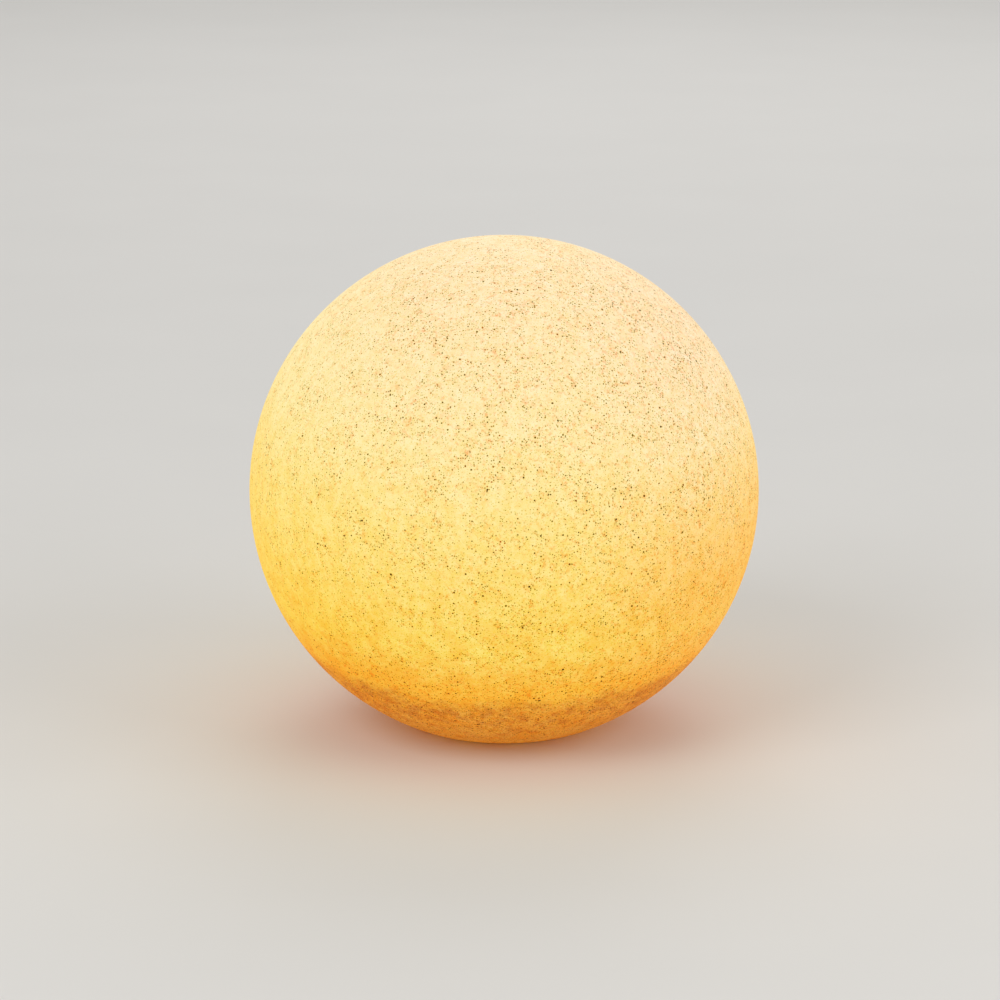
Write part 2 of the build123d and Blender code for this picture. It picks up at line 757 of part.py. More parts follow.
def holder_terminals():
    """Brass wire terminals of the holder."""
    half = terminal_cube / 2
    wire_way = rod(lead_diameter / 2 + wire_play, cube_z - 1, cube_z + terminal_cube_bore)
    tapping = cube_screw_place * rod(cube_screw_radius, 0, half + 1)
    cube = block(-half, half, -half, half, cube_z, cube_top_z) - wire_way - tapping
    return Part() + pattern(cube, cube_places)


def holder_terminal_screws():
    """Screws that clamp the leads in the holder's terminals."""
    head_low = terminal_cube / 2
    head_high = head_low + cube_screw_head_height
    screw = rod(cube_screw_radius, lead_diameter / 2 + wire_play, head_low)
    screw += rod(cube_screw_head, head_low, head_high)
    screw -= slot_recess(cube_screw_head, slot_depth, head_high)
    return Part() + pattern(cube_screw_place * screw, cube_places)


def screw_shell():
    """Metal sleeve that the lamp's cap screws into."""
    shell = tube(shell_outer_radius, shell_bore, insert_top_z, insert_top_z + shell_height)
    return shell + tube(shell_outer_radius, shell_floor_bore, insert_top_z, insert_top_z + shell_wall)


def centre_contact():
    """Sprung tongue that meets the lamp's eyelet."""
    low = insert_top_z
    high = low + tongue_rise
    foot_end = -tongue_reach + tongue_foot_length
    tip_start = -tongue_tip_length / 2
    side = Polygon(
        (-tongue_reach, low),
        (foot_end, low),
        (tip_start, high),
        (tongue_tip_length / 2, high),
        (tongue_tip_length / 2, high + tongue_thickness),
        (tip_start, high + tongue_thickness),
        (foot_end, low + tongue_thickness),
        (-tongue_reach, low + tongue_thickness),
        align=None,
    )
    return extrude(Plane.XZ * side, tongue_width / 2, both=True)


def side_contact():
    """Angled tongue beside the screw sleeve that feeds it."""
    inner = shell_outer_radius
    half = side_tongue_width / 2
    high = insert_top_z + side_tongue_height
    toe_end = insert_disc_radius - side_toe_margin
    upright = block(inner, inner + tongue_thickness, -half, half, insert_step_z, high)
    return upright + block(inner, toe_end, -half, half, insert_step_z, insert_step_z + tongue_thickness)


def holder_sleeve():
    """Outer sleeve of the holder, screwed over the cup, with grip ribs."""
    low = sleeve_low_z
    high = sleeve_top_z
    skirt_radius = sleeve_bore_radius + holder_sleeve_wall
    shoulder = cup_top_z + sleeve_shoulder_play
    top_radius = holder_sleeve_top_radius
    mouth = shell_outer_radius + sleeve_mouth_play
    lip = high - holder_mouth_lip
    outline = Polygon(
        (sleeve_bore_radius, low),
        (skirt_radius, low),
        (skirt_radius, shoulder),
        (top_radius, high - sleeve_top_chamfer),
        (top_radius - sleeve_top_chamfer, high),
        (mouth, high),
        (mouth, lip),
        (top_radius - holder_sleeve_wall, lip),
        (insert_disc_radius, shoulder),
        (sleeve_bore_radius, shoulder),
        align=None,
    )
    rib = rod(holder_rib_radius, low + holder_rib_setback, low + holder_rib_height)
    ribs = pattern(rib, around(skirt_radius - holder_rib_radius / 2, even_angles(holder_rib_count)))
    ribs = [piece - rod(skirt_radius - holder_sleeve_wall / 2, low, high) for piece in ribs]
    return revolve(Plane.XZ * outline, Axis.Z) + ribs


# ------------------------------------------------------------------ LED lamp
def dome_outline(inset, low):
    """Solid dome down to the given height, smaller by the inset."""
    radius = lamp_dome_radius - inset
    base_radius = lamp_dome_base_radius - inset
    top = dome_centre_z + radius
    half_way = math.radians(45)
    shoulder = (radius * math.cos(half_way), dome_centre_z + radius * math.sin(half_way))
    lean = (lamp_dome_lean, 1)
    return turned(
        Line((0, low), (base_radius, low)),
        Spline((base_radius, low), (radius, dome_centre_z), tangents=(lean, (0, 1))),
        ThreePointArc((radius, dome_centre_z), shoulder, (0, top)),
        Line((0, top), (0, low)),
    )


def bulb_diffuser():
    """Opal dome of the lamp."""
    return dome_outline(0, dome_base_z) - dome_outline(lamp_dome_wall, dome_base_z - 1)


def housing_line(inset):
    """Points of the housing's flared side, smaller by the inset: low, middle and high."""
    low = lamp_z + cap_height
    low_radius = lamp_housing_low_radius - inset
    high_radius = lamp_dome_base_radius - inset
    middle = ((low_radius + high_radius) / 2 + lamp_housing_bulge, (low + dome_base_z) / 2)
    return (low_radius, low), middle, (high_radius, dome_base_z)


def bulb_housing():
    """Opaque flared housing: a spigot in the cap, the flared side, and a ledge under the LED board."""
    low, middle, high = housing_line(0)
    low_in, middle_in, high_in = housing_line(lamp_housing_wall)
    spigot_radius = cap_radius - cap_wall - lamp_spigot_play
    spigot_bore = spigot_radius - lamp_housing_wall
    side = turned(
        ThreePointArc(low, middle, high),
        Line(high, high_in),
        ThreePointArc(high_in, middle_in, low_in),
        Line(low_in, low),
    )
    seat = lamp_z + cap_height
    spigot = tube(spigot_radius, spigot_bore, seat - lamp_spigot_length, seat)
    spigot += tube(lamp_housing_low_radius, spigot_bore, seat, seat + lamp_housing_wall)
    ledge_radius = high_in[0] + lamp_housing_wall / 2
    ledge_bore = ledge_radius - lamp_ledge_width
    ledge = tube(ledge_radius, ledge_bore, dome_base_z - lamp_ledge_thickness, dome_base_z)
    return side + spigot + ledge


def bulb_cap():
    """Metal screw cap."""
    low = lamp_z + cap_low_height
    high = lamp_z + cap_height
    cap = rod(cap_radius, low, high) - rod(cap_radius - cap_wall, low + cap_wall, high + 1)
    return cap - rod(insulator_top_radius, low - 1, low + 1)


def bulb_insulator():
    """Dark insulating cone between the cap and the eyelet."""
    low = lamp_z + eyelet_height / 2
    high = lamp_z + cap_low_height + cap_wall
    ring = cone(insulator_low_radius, insulator_top_radius, low, high)
    ring -= rod(eyelet_stem_radius, low - 1, high + 1)
    return ring - rod(eyelet_radius, low - 1, lamp_z + eyelet_height)


def bulb_eyelet():
    """Contact button at the lamp's tip, on its stem."""
    high = lamp_z + eyelet_height
    button = rod(eyelet_radius, lamp_z, high)
    button = fillet(button.edges().filter_by(GeomType.CIRCLE).group_by(Axis.Z)[0], eyelet_height / 2)
    return button + rod(eyelet_stem_radius, high, lamp_z + cap_low_height + cap_wall)


def led_board():
    """Round aluminium board under the dome."""
    return rod(led_board_radius, dome_base_z, dome_base_z + led_board_thickness)


def led_chips():
    """LED packages on the board, in two rings."""
    half = led_size / 2
    low = dome_base_z + led_board_thickness
    chip = block(-half, half, -half, half, low, low + led_height)
    chips = pattern(chip, around(led_outer_radius, even_angles(led_outer_count)))
    return Part() + chips + pattern(chip, around(led_inner_radius, even_angles(led_inner_count)))


def driver_board():
    """Upright driver board inside the housing."""
    high = dome_base_z
    half = driver_width / 2
    return block(-half, half, -driver_thickness / 2, driver_thickness / 2, high - driver_height, high)


def driver_capacitor():
    """Capacitor on the driver board's lower half."""
    low = dome_base_z - driver_height + driver_edge
    can = rod(driver_capacitor_radius, low, low + driver_capacitor_length)
    return Pos(-driver_capacitor_offset, driver_thickness / 2 + driver_capacitor_radius, 0) * can


def driver_coil():
    """Square coil on the driver board's upper half."""
    face = driver_thickness / 2
    half = driver_coil_size / 2
    high = dome_base_z - driver_edge
    coil = block(-half, half, face, face + driver_coil_size, high - driver_coil_size, high)
    return fillet(coil.edges().filter_by(Axis.Y), driver_coil_rounding)


# ------------------------------------------------------------------ internal leads
def lead(name, points):
    """Insulated wire along straight runs joined by arcs as large as the runs allow."""
    vectors = [Vector(*point) for point in points]
    runs = [after - before for before, after in zip(vectors, vectors[1:])]
    radii = []
    for first, second in zip(runs, runs[1:]):
        turn = math.radians(first.get_angle(second))
        radii.append(lead_bend_share * min(first.length, second.length) / math.tan(turn / 2))
    print(name, "bend radii", [round(radius, 1) for radius in radii])
    path = FilletPolyline(*points, radius=radii)
    section = Plane(origin=path @ 0, z_dir=path % 0) * Circle(lead_diameter / 2)
    wire = sweep(section, path=path)
    expected = path.length * math.pi * lead_diameter**2 / 4
    print(name, "length", round(path.length, 1), "volume ratio", round(wire.volume / expected, 4))
    return wire


def lead_route(side):
    """Points from a pole of the terminal block to the holder's terminal on the same side."""
    x = terminal_centre_x + side * terminal_pitch / 2
    end_x = side * terminal_cube_spacing / 2
    turn_y = terminal_centre_y + terminal_length / 2 + lead_run_out
    rise_x = pocket_half_width + pocket_wall + lead_wall_gap + (side + 1) * terminal_pitch / 2
    high_z = plate_z - lead_plate_gap
    return [
        (x, terminal_centre_y + lead_in_barrel, terminal_wire_z),
        (x, turn_y, terminal_wire_z),
        (x - lead_lean, turn_y + lead_loop, terminal_top_z),
        (rise_x, turn_y, high_z),
        (end_x + lead_approach, 2 * lead_approach, high_z),
        (end_x, 0, high_z + lead_rise),
        (end_x, 0, cube_z + lead_in_cube),
    ]


def live_lead():
    """Lead from the inner pole to the far terminal of the holder."""
    return lead("live_lead", lead_route(-1))


def neutral_lead():
    """Lead from the outer pole to the near terminal of the holder."""
    return lead("neutral_lead", lead_route(1))


# ------------------------------------------------------------------ build and write
parts = {
    "globe_shell": globe_shell,
    "threaded_inserts": threaded_inserts,
    "base_tray": base_tray,
    "base_gasket": base_gasket,
    "rubber_feet": rubber_feet,
    "base_screws": base_screws,
    "gland_body": gland_body,
    "gland_seal": gland_seal,
    "gland_washer": gland_washer,
    "gland_dome_nut": gland_dome_nut,
    "gland_lock_nut": gland_lock_nut,
    "terminal_block": terminal_block,
    "terminal_barrels": terminal_barrels,
    "terminal_screws": terminal_screws,
    "terminal_fixing_screw": terminal_fixing_screw,
    "chamber_seal": chamber_seal,
    "lamp_plate": lamp_plate,
    "plate_screws": plate_screws,
    "holder_base": holder_base,
    "holder_screws": holder_screws,
    "holder_insert": holder_insert,
    "holder_terminals": holder_terminals,
    "holder_terminal_screws": holder_terminal_screws,
    "screw_shell": screw_shell,
    "centre_contact": centre_contact,
    "side_contact": side_contact,
    "holder_sleeve": holder_sleeve,
    "live_lead": live_lead,
    "neutral_lead": neutral_lead,
    "bulb_diffuser": bulb_diffuser,
    "bulb_housing": bulb_housing,
    "bulb_cap": bulb_cap,
    "bulb_insulator": bulb_insulator,
    "bulb_eyelet": bulb_eyelet,
    "led_board": led_board,
    "led_chips": led_chips,
    "driver_board": driver_board,
    "driver_capacitor": driver_capacitor,
    "driver_coil": driver_coil,
}

os.makedirs("parts", exist_ok=True)
for name, make in parts.items():
    export_step(make(), f"parts/{name}.step")
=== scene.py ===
"""Garden globe light: glowing stone-look ball, base unit and lamp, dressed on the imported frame."""

import json
import math
from typing import NamedTuple

import bmesh
import bpy
from mathutils import Matrix, Vector


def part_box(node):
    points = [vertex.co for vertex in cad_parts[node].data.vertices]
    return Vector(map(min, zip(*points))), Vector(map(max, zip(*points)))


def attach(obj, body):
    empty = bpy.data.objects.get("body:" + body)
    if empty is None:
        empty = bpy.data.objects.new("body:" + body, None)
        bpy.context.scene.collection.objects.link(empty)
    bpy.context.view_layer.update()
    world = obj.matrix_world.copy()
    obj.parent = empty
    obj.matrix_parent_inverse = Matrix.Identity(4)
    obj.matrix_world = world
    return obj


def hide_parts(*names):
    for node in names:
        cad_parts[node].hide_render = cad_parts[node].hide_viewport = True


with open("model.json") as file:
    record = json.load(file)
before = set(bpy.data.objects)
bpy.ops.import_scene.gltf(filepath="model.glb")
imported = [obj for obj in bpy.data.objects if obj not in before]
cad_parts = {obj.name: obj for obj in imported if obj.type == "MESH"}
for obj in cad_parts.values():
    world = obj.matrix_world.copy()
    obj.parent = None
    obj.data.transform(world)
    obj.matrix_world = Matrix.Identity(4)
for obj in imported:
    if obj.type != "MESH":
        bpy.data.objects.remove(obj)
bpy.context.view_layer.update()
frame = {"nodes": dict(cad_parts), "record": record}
nodes = frame["nodes"]

MM = 0.001

# ------------------------------------------------------------------ sizes, metres
# The ball's reach comes from the frame. The other lengths of this block repeat the part's source.
shell_low, shell_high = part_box("globe_shell")
BALL_RADIUS = min(shell_high.x - shell_low.x, shell_high.y - shell_low.y) / 2
BALL_Z = shell_high.z - BALL_RADIUS  # height of the ball's centre
BALL_WALL = 3.0 * MM
LIP_Z = shell_low.z
LIP_ROUNDING = 10.0 * MM
REBATE_RADIUS = 51.6 * MM
REBATE_DEPTH = 7.5 * MM
CEILING_Z = LIP_Z + REBATE_DEPTH
NECK_RADIUS = 42.0 * MM
NECK_HEIGHT = 12.5 * MM
ARCH_HALF = 4.0 * MM
ARCH_ROOF = 6.2 * MM
BOSS_RADIUS = 5.0 * MM
BOSS_HEIGHT = 12.0 * MM
BOSS_CIRCLE = 46.6 * MM
BOSS_BORE = 2.9 * MM
BOSS_ANGLES = (30, 150, 270)
SLEEVE_WALL = 0.6 * MM
SLEEVE_FLOOR_BORE = 9.6 * MM
THREAD_LEAD = 3.629 * MM  # the lead that the lamp's joints have

# Rounded inner edges, threads and rolled ends, which only this model has.
EDGE_ROUNDING = 0.5 * MM
THREAD_DEPTH = 0.8 * MM
THREAD_RUN_OUT = 2.4 * MM
THREAD_MARGIN = 1.6 * MM  # between an end of a threaded wall and the first of its rings
CAP_WALL = 0.5 * MM
CAP_CURL = 1.3 * MM  # radius of the cap's lower edge
CAP_RIM = 0.9 * MM
CAP_LOW_WALL = 0.6 * MM
CAP_THREAD_ENDS = (2.2 * MM, 3.0 * MM)  # above the cap's lower end, below its upper end
SLEEVE_FOOT = 1.0 * MM
SLEEVE_THREAD_ENDS = (2.0 * MM, 0.4 * MM)

# ------------------------------------------------------------------ fineness of the meshes
BALL_SEGMENTS = 208
OUTSIDE_STEPS = 110
INSIDE_STEPS = 64
LIP_STEPS = 6
EDGE_STEPS = 4
ARCH_STEPS = 16
CUTTER_SEGMENTS = 48
THREAD_SEGMENTS = 112
RINGS_PER_TURN = 14
CURL_STEPS = 5
BALL_SHARP_ANGLE = 32
THREAD_SHARP_ANGLE = 40


# ------------------------------------------------------------------ colour and node helpers
def from_srgb(red, green, blue):
    """Linear colour from 8-bit screen values."""
    linear = []
    for value in (red, green, blue):
        share = value / 255
        linear.append(share / 12.92 if share <= 0.04045 else ((share + 0.055) / 1.055) ** 2.4)
    return tuple(linear)


class Pattern(NamedTuple):
    """Noise: its settings, and the values at which it starts to show and is full."""

    scale: float
    detail: float
    roughness: float
    shift: float
    start: float
    full: float


class Graph:
    """A material and short calls that add nodes to it."""

    def __init__(self, name):
        self.material = bpy.data.materials.new(name)
        self.material.use_nodes = True
        self.tree = self.material.node_tree
        self.tree.nodes.clear()
        self.shader = self.tree.nodes.new("ShaderNodeBsdfPrincipled")
        output = self.tree.nodes.new("ShaderNodeOutputMaterial")
        self.tree.links.new(self.shader.outputs["BSDF"], output.inputs["Surface"])
        self.place = self.add("ShaderNodeTexCoord").outputs["Object"]

    def add(self, kind, **settings):
        """A new node with these settings."""
        node = self.tree.nodes.new(kind)
        for key, value in settings.items():
            setattr(node, key, value)
        return node

    def put(self, socket, value):
        """Link an output, or set a plain value. A colour of three numbers gets an alpha of 1."""
        if isinstance(value, bpy.types.NodeSocket):
            self.tree.links.new(value, socket)
        elif isinstance(value, tuple) and len(value) == 3 and len(socket.default_value) == 4:
            socket.default_value = (*value, 1.0)
        else:
            socket.default_value = value

    def put_all(self, node, **values):
        """Put values into a node's inputs, named with _ for a space."""
        for key, value in values.items():
            self.put(node.inputs[key.replace("_", " ")], value)

    def math(self, operation, first, second=0.0, third=0.0):
        """Output of a calculation with numbers."""
        node = self.add("ShaderNodeMath", operation=operation)
        for index, value in enumerate((first, second, third)):
            self.put(node.inputs[index], value)
        return node.outputs[0]

    def vector_math(self, operation, first, second, third=(0.0, 0.0, 0.0)):
        """Output of a calculation with vectors."""
        node = self.add("ShaderNodeVectorMath", operation=operation)
        for index, value in enumerate((first, second, third)):
            self.put(node.inputs[index], value)
        return node.outputs[0]

    def split(self, vector):
        """The three parts of a vector."""
        node = self.add("ShaderNodeSeparateXYZ")
        self.put(node.inputs[0], vector)
        return node.outputs

    def rescale(self, value, low, high, new_low=0.0, new_high=1.0, soft=False):
        """The value, taken from one range to another and held at its ends."""
        node = self.add("ShaderNodeMapRange", interpolation_type="SMOOTHSTEP" if soft else "LINEAR")
        self.put_all(node, Value=value, From_Min=low, From_Max=high, To_Min=new_low, To_Max=new_high)
        return node.outputs[0]

    def noise_at(self, place, scale, detail=2.0, roughness=0.5, distortion=0.0):
        """Outputs of a noise about 1/scale metres coarse, read at a place."""
        node = self.add("ShaderNodeTexNoise")
        settings = {"Scale": scale, "Detail": detail, "Roughness": roughness, "Distortion": distortion}
        self.put_all(node, Vector=place, **settings)
        return node.outputs

    def noise(self, scale, detail, roughness, shift, distortion=0.0):
        """Noise over the surface; shift picks another stretch of it."""
        place = self.vector_math("ADD", self.place, (shift, shift * 0.7, -shift))
        return self.noise_at(place, scale, detail, roughness, distortion)["Fac"]

    def pattern(self, kind):
        """A pattern's share, from 0 to 1."""
        value = self.noise(kind.scale, kind.detail, kind.roughness, kind.shift)
        return self.rescale(value, kind.start, kind.full, soft=True)

    def cells(self, size, shift, place):
        """Distance to the nearest grain, in cell sizes, and that grain's random numbers."""
        node = self.add("ShaderNodeTexVoronoi", feature="F1")
        shifted = self.vector_math("ADD", place, (shift, -shift, shift * 0.3))
        self.put_all(node, Vector=shifted, Scale=1 / size, Randomness=1.0)
        return node.outputs["Distance"], self.split(node.outputs["Color"])

    def ramp(self, value, stops):
        """Colour ramp over stops of (position, colour)."""
        node = self.add("ShaderNodeValToRGB")
        elements = node.color_ramp.elements
        while len(elements) < len(stops):
            elements.new(0.5)
        for element, stop in zip(elements, stops):
            element.position = stop[0]
        for element, stop in zip(elements, stops):
            element.color = (*stop[1], 1.0)
        self.put(node.inputs[0], value)
        return node.outputs[0]

    def mix(self, factor, first, second, blend="MIX"):
        """Mix of two colours."""
        node = self.add("ShaderNodeMix", data_type="RGBA", blend_type=blend)
        for index, value in ((0, factor), (6, first), (7, second)):
            self.put(node.inputs[index], value)
        return node.outputs[2]

    def times(self, colour, tint):
        """The colour multiplied by a tint, or by one number."""
        return self.mix(1.0, colour, (tint,) * 3 if isinstance(tint, float) else tint, "MULTIPLY")

    def tinted(self, colour, factor, tint):
        """The colour, multiplied by a tint as far as the factor says."""
        return self.mix(factor, colour, self.times(colour, tint))

    def bump(self, height, distance, strength):
        """Relief on the shader's normal."""
        node = self.add("ShaderNodeBump")
        self.put_all(node, Height=height, Distance=distance, Strength=strength)
        self.put(self.shader.inputs["Normal"], node.outputs[0])

    def finish(self, **sockets):
        """Fill the shader's sockets, named with _ for a space, and give the material."""
        self.put_all(self.shader, **sockets)
        return self.material


# ------------------------------------------------------------------ the ball's skin
# Heights and sides are measured from the ball's centre, over its radius. A span goes from where a change
# starts to where it is full. Four numbers are a span and the two values that go with its ends.
BASE_SHARE = 0.16  # of the look, from light that falls on the skin; the rest is its own glow
GLOW_GAIN = 1.04
SKIN_ROUGHNESS = 0.62
SKIN_SPECULAR = 0.08

# Clear skin between the grains: screen colours by height, the lamp's glow with painted daylight that makes
# the top paler and bluer, and tints for the sides.
CLEAR_GLOW_AND_DAYLIGHT = (
    (-0.95, (218, 144, 58)),
    (-0.72, (250, 184, 74)),
    (-0.58, (254, 200, 81)),
    (-0.38, (255, 231, 129)),
    (-0.15, (255, 232, 142)),
    (0.10, (255, 236, 160)),
    (0.40, (255, 240, 185)),
    (0.95, (255, 238, 201)),
)
LEFT_SPAN = (-0.15, -0.85)
LEFT_TINT = (
    (-0.62, (0.97, 0.82, 0.46)),
    (-0.36, (1.00, 0.89, 0.53)),
    (-0.10, (1.00, 0.965, 0.77)),
    (0.60, (1.00, 1.01, 0.94)),
)
RIGHT_SPAN = (0.15, 0.85)
RIGHT_TINT = (
    (-0.60, (0.98, 0.86, 0.98)),
    (-0.34, (0.99, 0.78, 0.70)),
    (-0.10, (1.00, 0.82, 0.80)),
    (0.30, (1.00, 0.97, 1.12)),
)
# Painted shade at the ball's left and right edges, darker and more orange.
FLANK_SPAN = (0.86, 1.0)
FLANK_SHADE = (1.00, 0.94, 0.79)

# Painted shade on the foot of the ball, where the base unit blocks the lamp: its ragged upper edge, and the
# shade's brown mottled patches and flecks.
FOOT_TOP = -0.638
FOOT_FADE = (0.04, -0.05)  # above and below its top
FOOT_EDGE_WANDER = 0.17
FOOT_EDGE_RISE = 0.08  # at the sides
FOOT_SHADE = (0.91, 0.845, 0.92)
FOOT_SHADE_MOTTLE = (0.81, 0.70, 0.76)
FOOT_SHADE_MOTTLE_BY_HEIGHT = (-0.90, -0.70, 0.35, 1.0)
FOOT_SHADE_PATCHES = Pattern(scale=130, detail=5, roughness=0.68, shift=0.71, start=0.44, full=0.60)
FOOT_SHADE_FLECK = (0.70, 0.60, 0.42)
FOOT_SHADE_FLECKS = Pattern(scale=1000, detail=4, roughness=0.70, shift=0.47, start=0.47, full=0.64)

# Painted shade in the recess that takes the base unit: it fades past its wall and above its ceiling.
RECESS_SHADE = (0.60, 0.46, 0.38)
RECESS_FADE_OUT = (0.4 * MM, -0.2 * MM)
RECESS_FADE_UP = (1.5 * MM, 0.5 * MM)

# Crowding of the grains: clusters of 10 to 25 mm with knots of 4 to 8 mm in them, more of both to the right,
# upwards and at the foot.
CLUSTERS = Pattern(scale=58, detail=3, roughness=0.6, shift=0.83, start=0.38, full=0.64)
CLUSTER_SHARE = 0.45
KNOTS = Pattern(scale=165, detail=2, roughness=0.6, shift=0.23, start=0.42, full=0.66)
KNOT_SHARE = 0.55
CROWD_BY_SIDE = (-0.9, 0.7, -0.10, 0.19)
CROWD_BY_HEIGHT = (-0.4, 0.8, -0.05, 0.08)
CROWD_AT_FOOT = 0.38
CROWD_FOOT_SPAN = (-0.35, -0.62)

# Orange clouds low on the ball, and a mottle that is cream above and yellow below.
LOW_SPAN = (0.1, -0.45)
CLOUDS = Pattern(scale=75, detail=4, roughness=0.6, shift=0.61, start=0.42, full=0.64)
CLOUD_TINT = (0.99, 0.87, 0.65)
YELLOW_SPAN = (0.65, -0.15)
MOTTLES = (
    (
        Pattern(scale=85, detail=4, roughness=0.62, shift=0.11, start=0.68, full=0.36),
        (0.992, 0.965, 0.885),
        (0.992, 0.955, 0.81),
    ),
    (
        Pattern(scale=210, detail=3, roughness=0.6, shift=0.53, start=0.36, full=0.68),
        (0.98, 0.94, 0.85),
        (0.985, 0.94, 0.72),
    ),
)


class Smudges(NamedTuple):
    """Soft stains: pattern, strength where grains crowd, and tints high and low on the ball."""

    pattern: Pattern
    strength: float
    high_tint: tuple
    low_tint: tuple


class Grains(NamedTuple):
    """One size of grain: cell size, least and greatest radius, faintest and strongest tint, shift."""

    cell: float
    least: float
    most: float
    faint: float
    strong: float
    shift: float


# Rust and rose smudges, 1 to 4 mm.
SMUDGE_KINDS = (
    Smudges(
        Pattern(scale=300, detail=2, roughness=0.6, shift=0.39, start=0.50, full=0.72),
        0.66,
        (0.985, 0.71, 0.57),
        (0.99, 0.69, 0.36),
    ),
    Smudges(
        Pattern(scale=560, detail=2, roughness=0.6, shift=0.728, start=0.50, full=0.74),
        0.90,
        (0.945, 0.64, 0.53),
        (0.95, 0.62, 0.36),
    ),
)
SMUDGE_CROWD_SPAN = (0.1, 0.8)
SMUDGE_LEAST = 0.35  # share of the strength where grains are sparse

# Mineral grains of three sizes, dark brown, olive or rust, each with a rust fringe.
GRAIN_KINDS = (
    Grains(cell=0.85 * MM, least=0.05 * MM, most=0.30 * MM, faint=0.20, strong=1.00, shift=0.0),
    Grains(cell=1.20 * MM, least=0.08 * MM, most=0.47 * MM, faint=0.55, strong=1.00, shift=0.41),
    Grains(cell=3.20 * MM, least=0.24 * MM, most=0.62 * MM, faint=0.95, strong=1.00, shift=0.77),
)
GRAIN_RARITY = 2.1  # the higher, the rarer are grains near the greatest radius
GRAIN_BY_CROWD = (0.1, 0.9, 0.64, 1.12)  # crowding, and the share of a grain's radius
GRAIN_EDGE = (-0.02 * MM, 0.04 * MM)  # outside and inside its outline
GRAIN_SHADES = (
    (0.00, (0.03, 0.01, 0.001)),
    (0.35, (0.13, 0.06, 0.001)),
    (0.55, (0.20, 0.17, 0.001)),
    (0.75, (0.14, 0.07, 0.001)),
    (1.00, (0.48, 0.10, 0.01)),
)
OUTLINE_NOISE_SCALE = 2600.0
OUTLINE_WANDER = 0.35 * MM
FRINGE_WIDTH = 0.40 * MM
FRINGE_STRENGTH = 0.74
FRINGE_HIGH_TINT = (0.985, 0.90, 0.52)
FRINGE_LOW_TINT = (0.975, 0.86, 0.08)


def clear_skin(g, height, side):
    """Glow of the skin between the grains, by height and side, with painted daylight on the top and painted
    shade at the flanks.
    """
    level = g.math("MULTIPLY_ADD", height, 0.5, 0.5)

    def by_height(stops):
        return g.ramp(level, [((at + 1) / 2, colour) for at, colour in stops])

    colour = by_height([(at, from_srgb(*screen)) for at, screen in CLEAR_GLOW_AND_DAYLIGHT])
    colour = g.tinted(colour, g.rescale(side, *LEFT_SPAN, soft=True), by_height(LEFT_TINT))
    colour = g.tinted(colour, g.rescale(side, *RIGHT_SPAN, soft=True), by_height(RIGHT_TINT))
    # painted shade at the flanks
    return g.tinted(colour, g.rescale(g.math("ABSOLUTE", side), *FLANK_SPAN), FLANK_SHADE)


def shaded_foot(g, colour, height, side):
    """The colour with the foot's painted shade, its ragged upper edge, and brown mottled patches and flecks
    of that painted shade.
    """
    wander = g.math("SUBTRACT", g.noise(scale=42, detail=6, roughness=0.66, shift=0.31), 0.5)
    edge = g.math("MULTIPLY_ADD", wander, FOOT_EDGE_WANDER, height)
    edge = g.math("MULTIPLY_ADD", g.math("MULTIPLY", side, side), -FOOT_EDGE_RISE, edge)
    foot = g.rescale(edge, FOOT_TOP + FOOT_FADE[0], FOOT_TOP + FOOT_FADE[1], soft=True)
    colour = g.tinted(colour, foot, FOOT_SHADE)
    # mottled patches and flecks of the painted shade, only inside it
    upper_foot = g.math("MULTIPLY", foot, g.rescale(height, *FOOT_SHADE_MOTTLE_BY_HEIGHT, soft=True))
    colour = g.tinted(colour, g.math("MULTIPLY", upper_foot, g.pattern(FOOT_SHADE_PATCHES)), FOOT_SHADE_MOTTLE)
    return g.tinted(colour, g.math("MULTIPLY", foot, g.pattern(FOOT_SHADE_FLECKS)), FOOT_SHADE_FLECK)


def shaded_recess(g, colour, x, y, z):
    """The colour with painted shade in the recess that takes the base unit."""
    from_axis = g.math("SQRT", g.math("MULTIPLY_ADD", x, x, g.math("MULTIPLY", y, y)))
    within = g.rescale(from_axis, *(REBATE_RADIUS + fade for fade in RECESS_FADE_OUT), soft=True)
    under = g.rescale(z, *(CEILING_Z + fade for fade in RECESS_FADE_UP), soft=True)
    return g.tinted(colour, g.math("MULTIPLY", within, under), RECESS_SHADE)


def crowding(g, height, side):
    """How close the grains lie, about 0 to 1."""
    knots = g.math("MULTIPLY", g.pattern(KNOTS), KNOT_SHARE)
    crowd = g.math("MULTIPLY_ADD", g.pattern(CLUSTERS), CLUSTER_SHARE, knots)
    lowest = g.rescale(height, *CROWD_FOOT_SPAN, soft=True)
    drift = g.math("MULTIPLY_ADD", lowest, CROWD_AT_FOOT, g.rescale(side, *CROWD_BY_SIDE))
    crowd = g.math("ADD", crowd, drift)
    return g.math("ADD", crowd, g.rescale(height, *CROWD_BY_HEIGHT))


def clouded(g, colour, low_down, yellowing):
    """The colour with orange clouds low on the ball and mottle all over."""
    colour = g.tinted(colour, g.math("MULTIPLY", low_down, g.pattern(CLOUDS)), CLOUD_TINT)
    for pattern, high_tint, low_tint in MOTTLES:
        tint = g.mix(yellowing, high_tint, low_tint)
        colour = g.tinted(colour, g.pattern(pattern), tint)
    return colour


def smudged(g, colour, crowd, yellowing):
    """The colour with rust and rose smudges."""
    for kind in SMUDGE_KINDS:
        tint = g.mix(yellowing, kind.high_tint, kind.low_tint)
        strength = g.rescale(crowd, *SMUDGE_CROWD_SPAN, kind.strength * SMUDGE_LEAST, kind.strength)
        colour = g.tinted(colour, g.math("MULTIPLY", g.pattern(kind.pattern), strength), tint)
    return colour


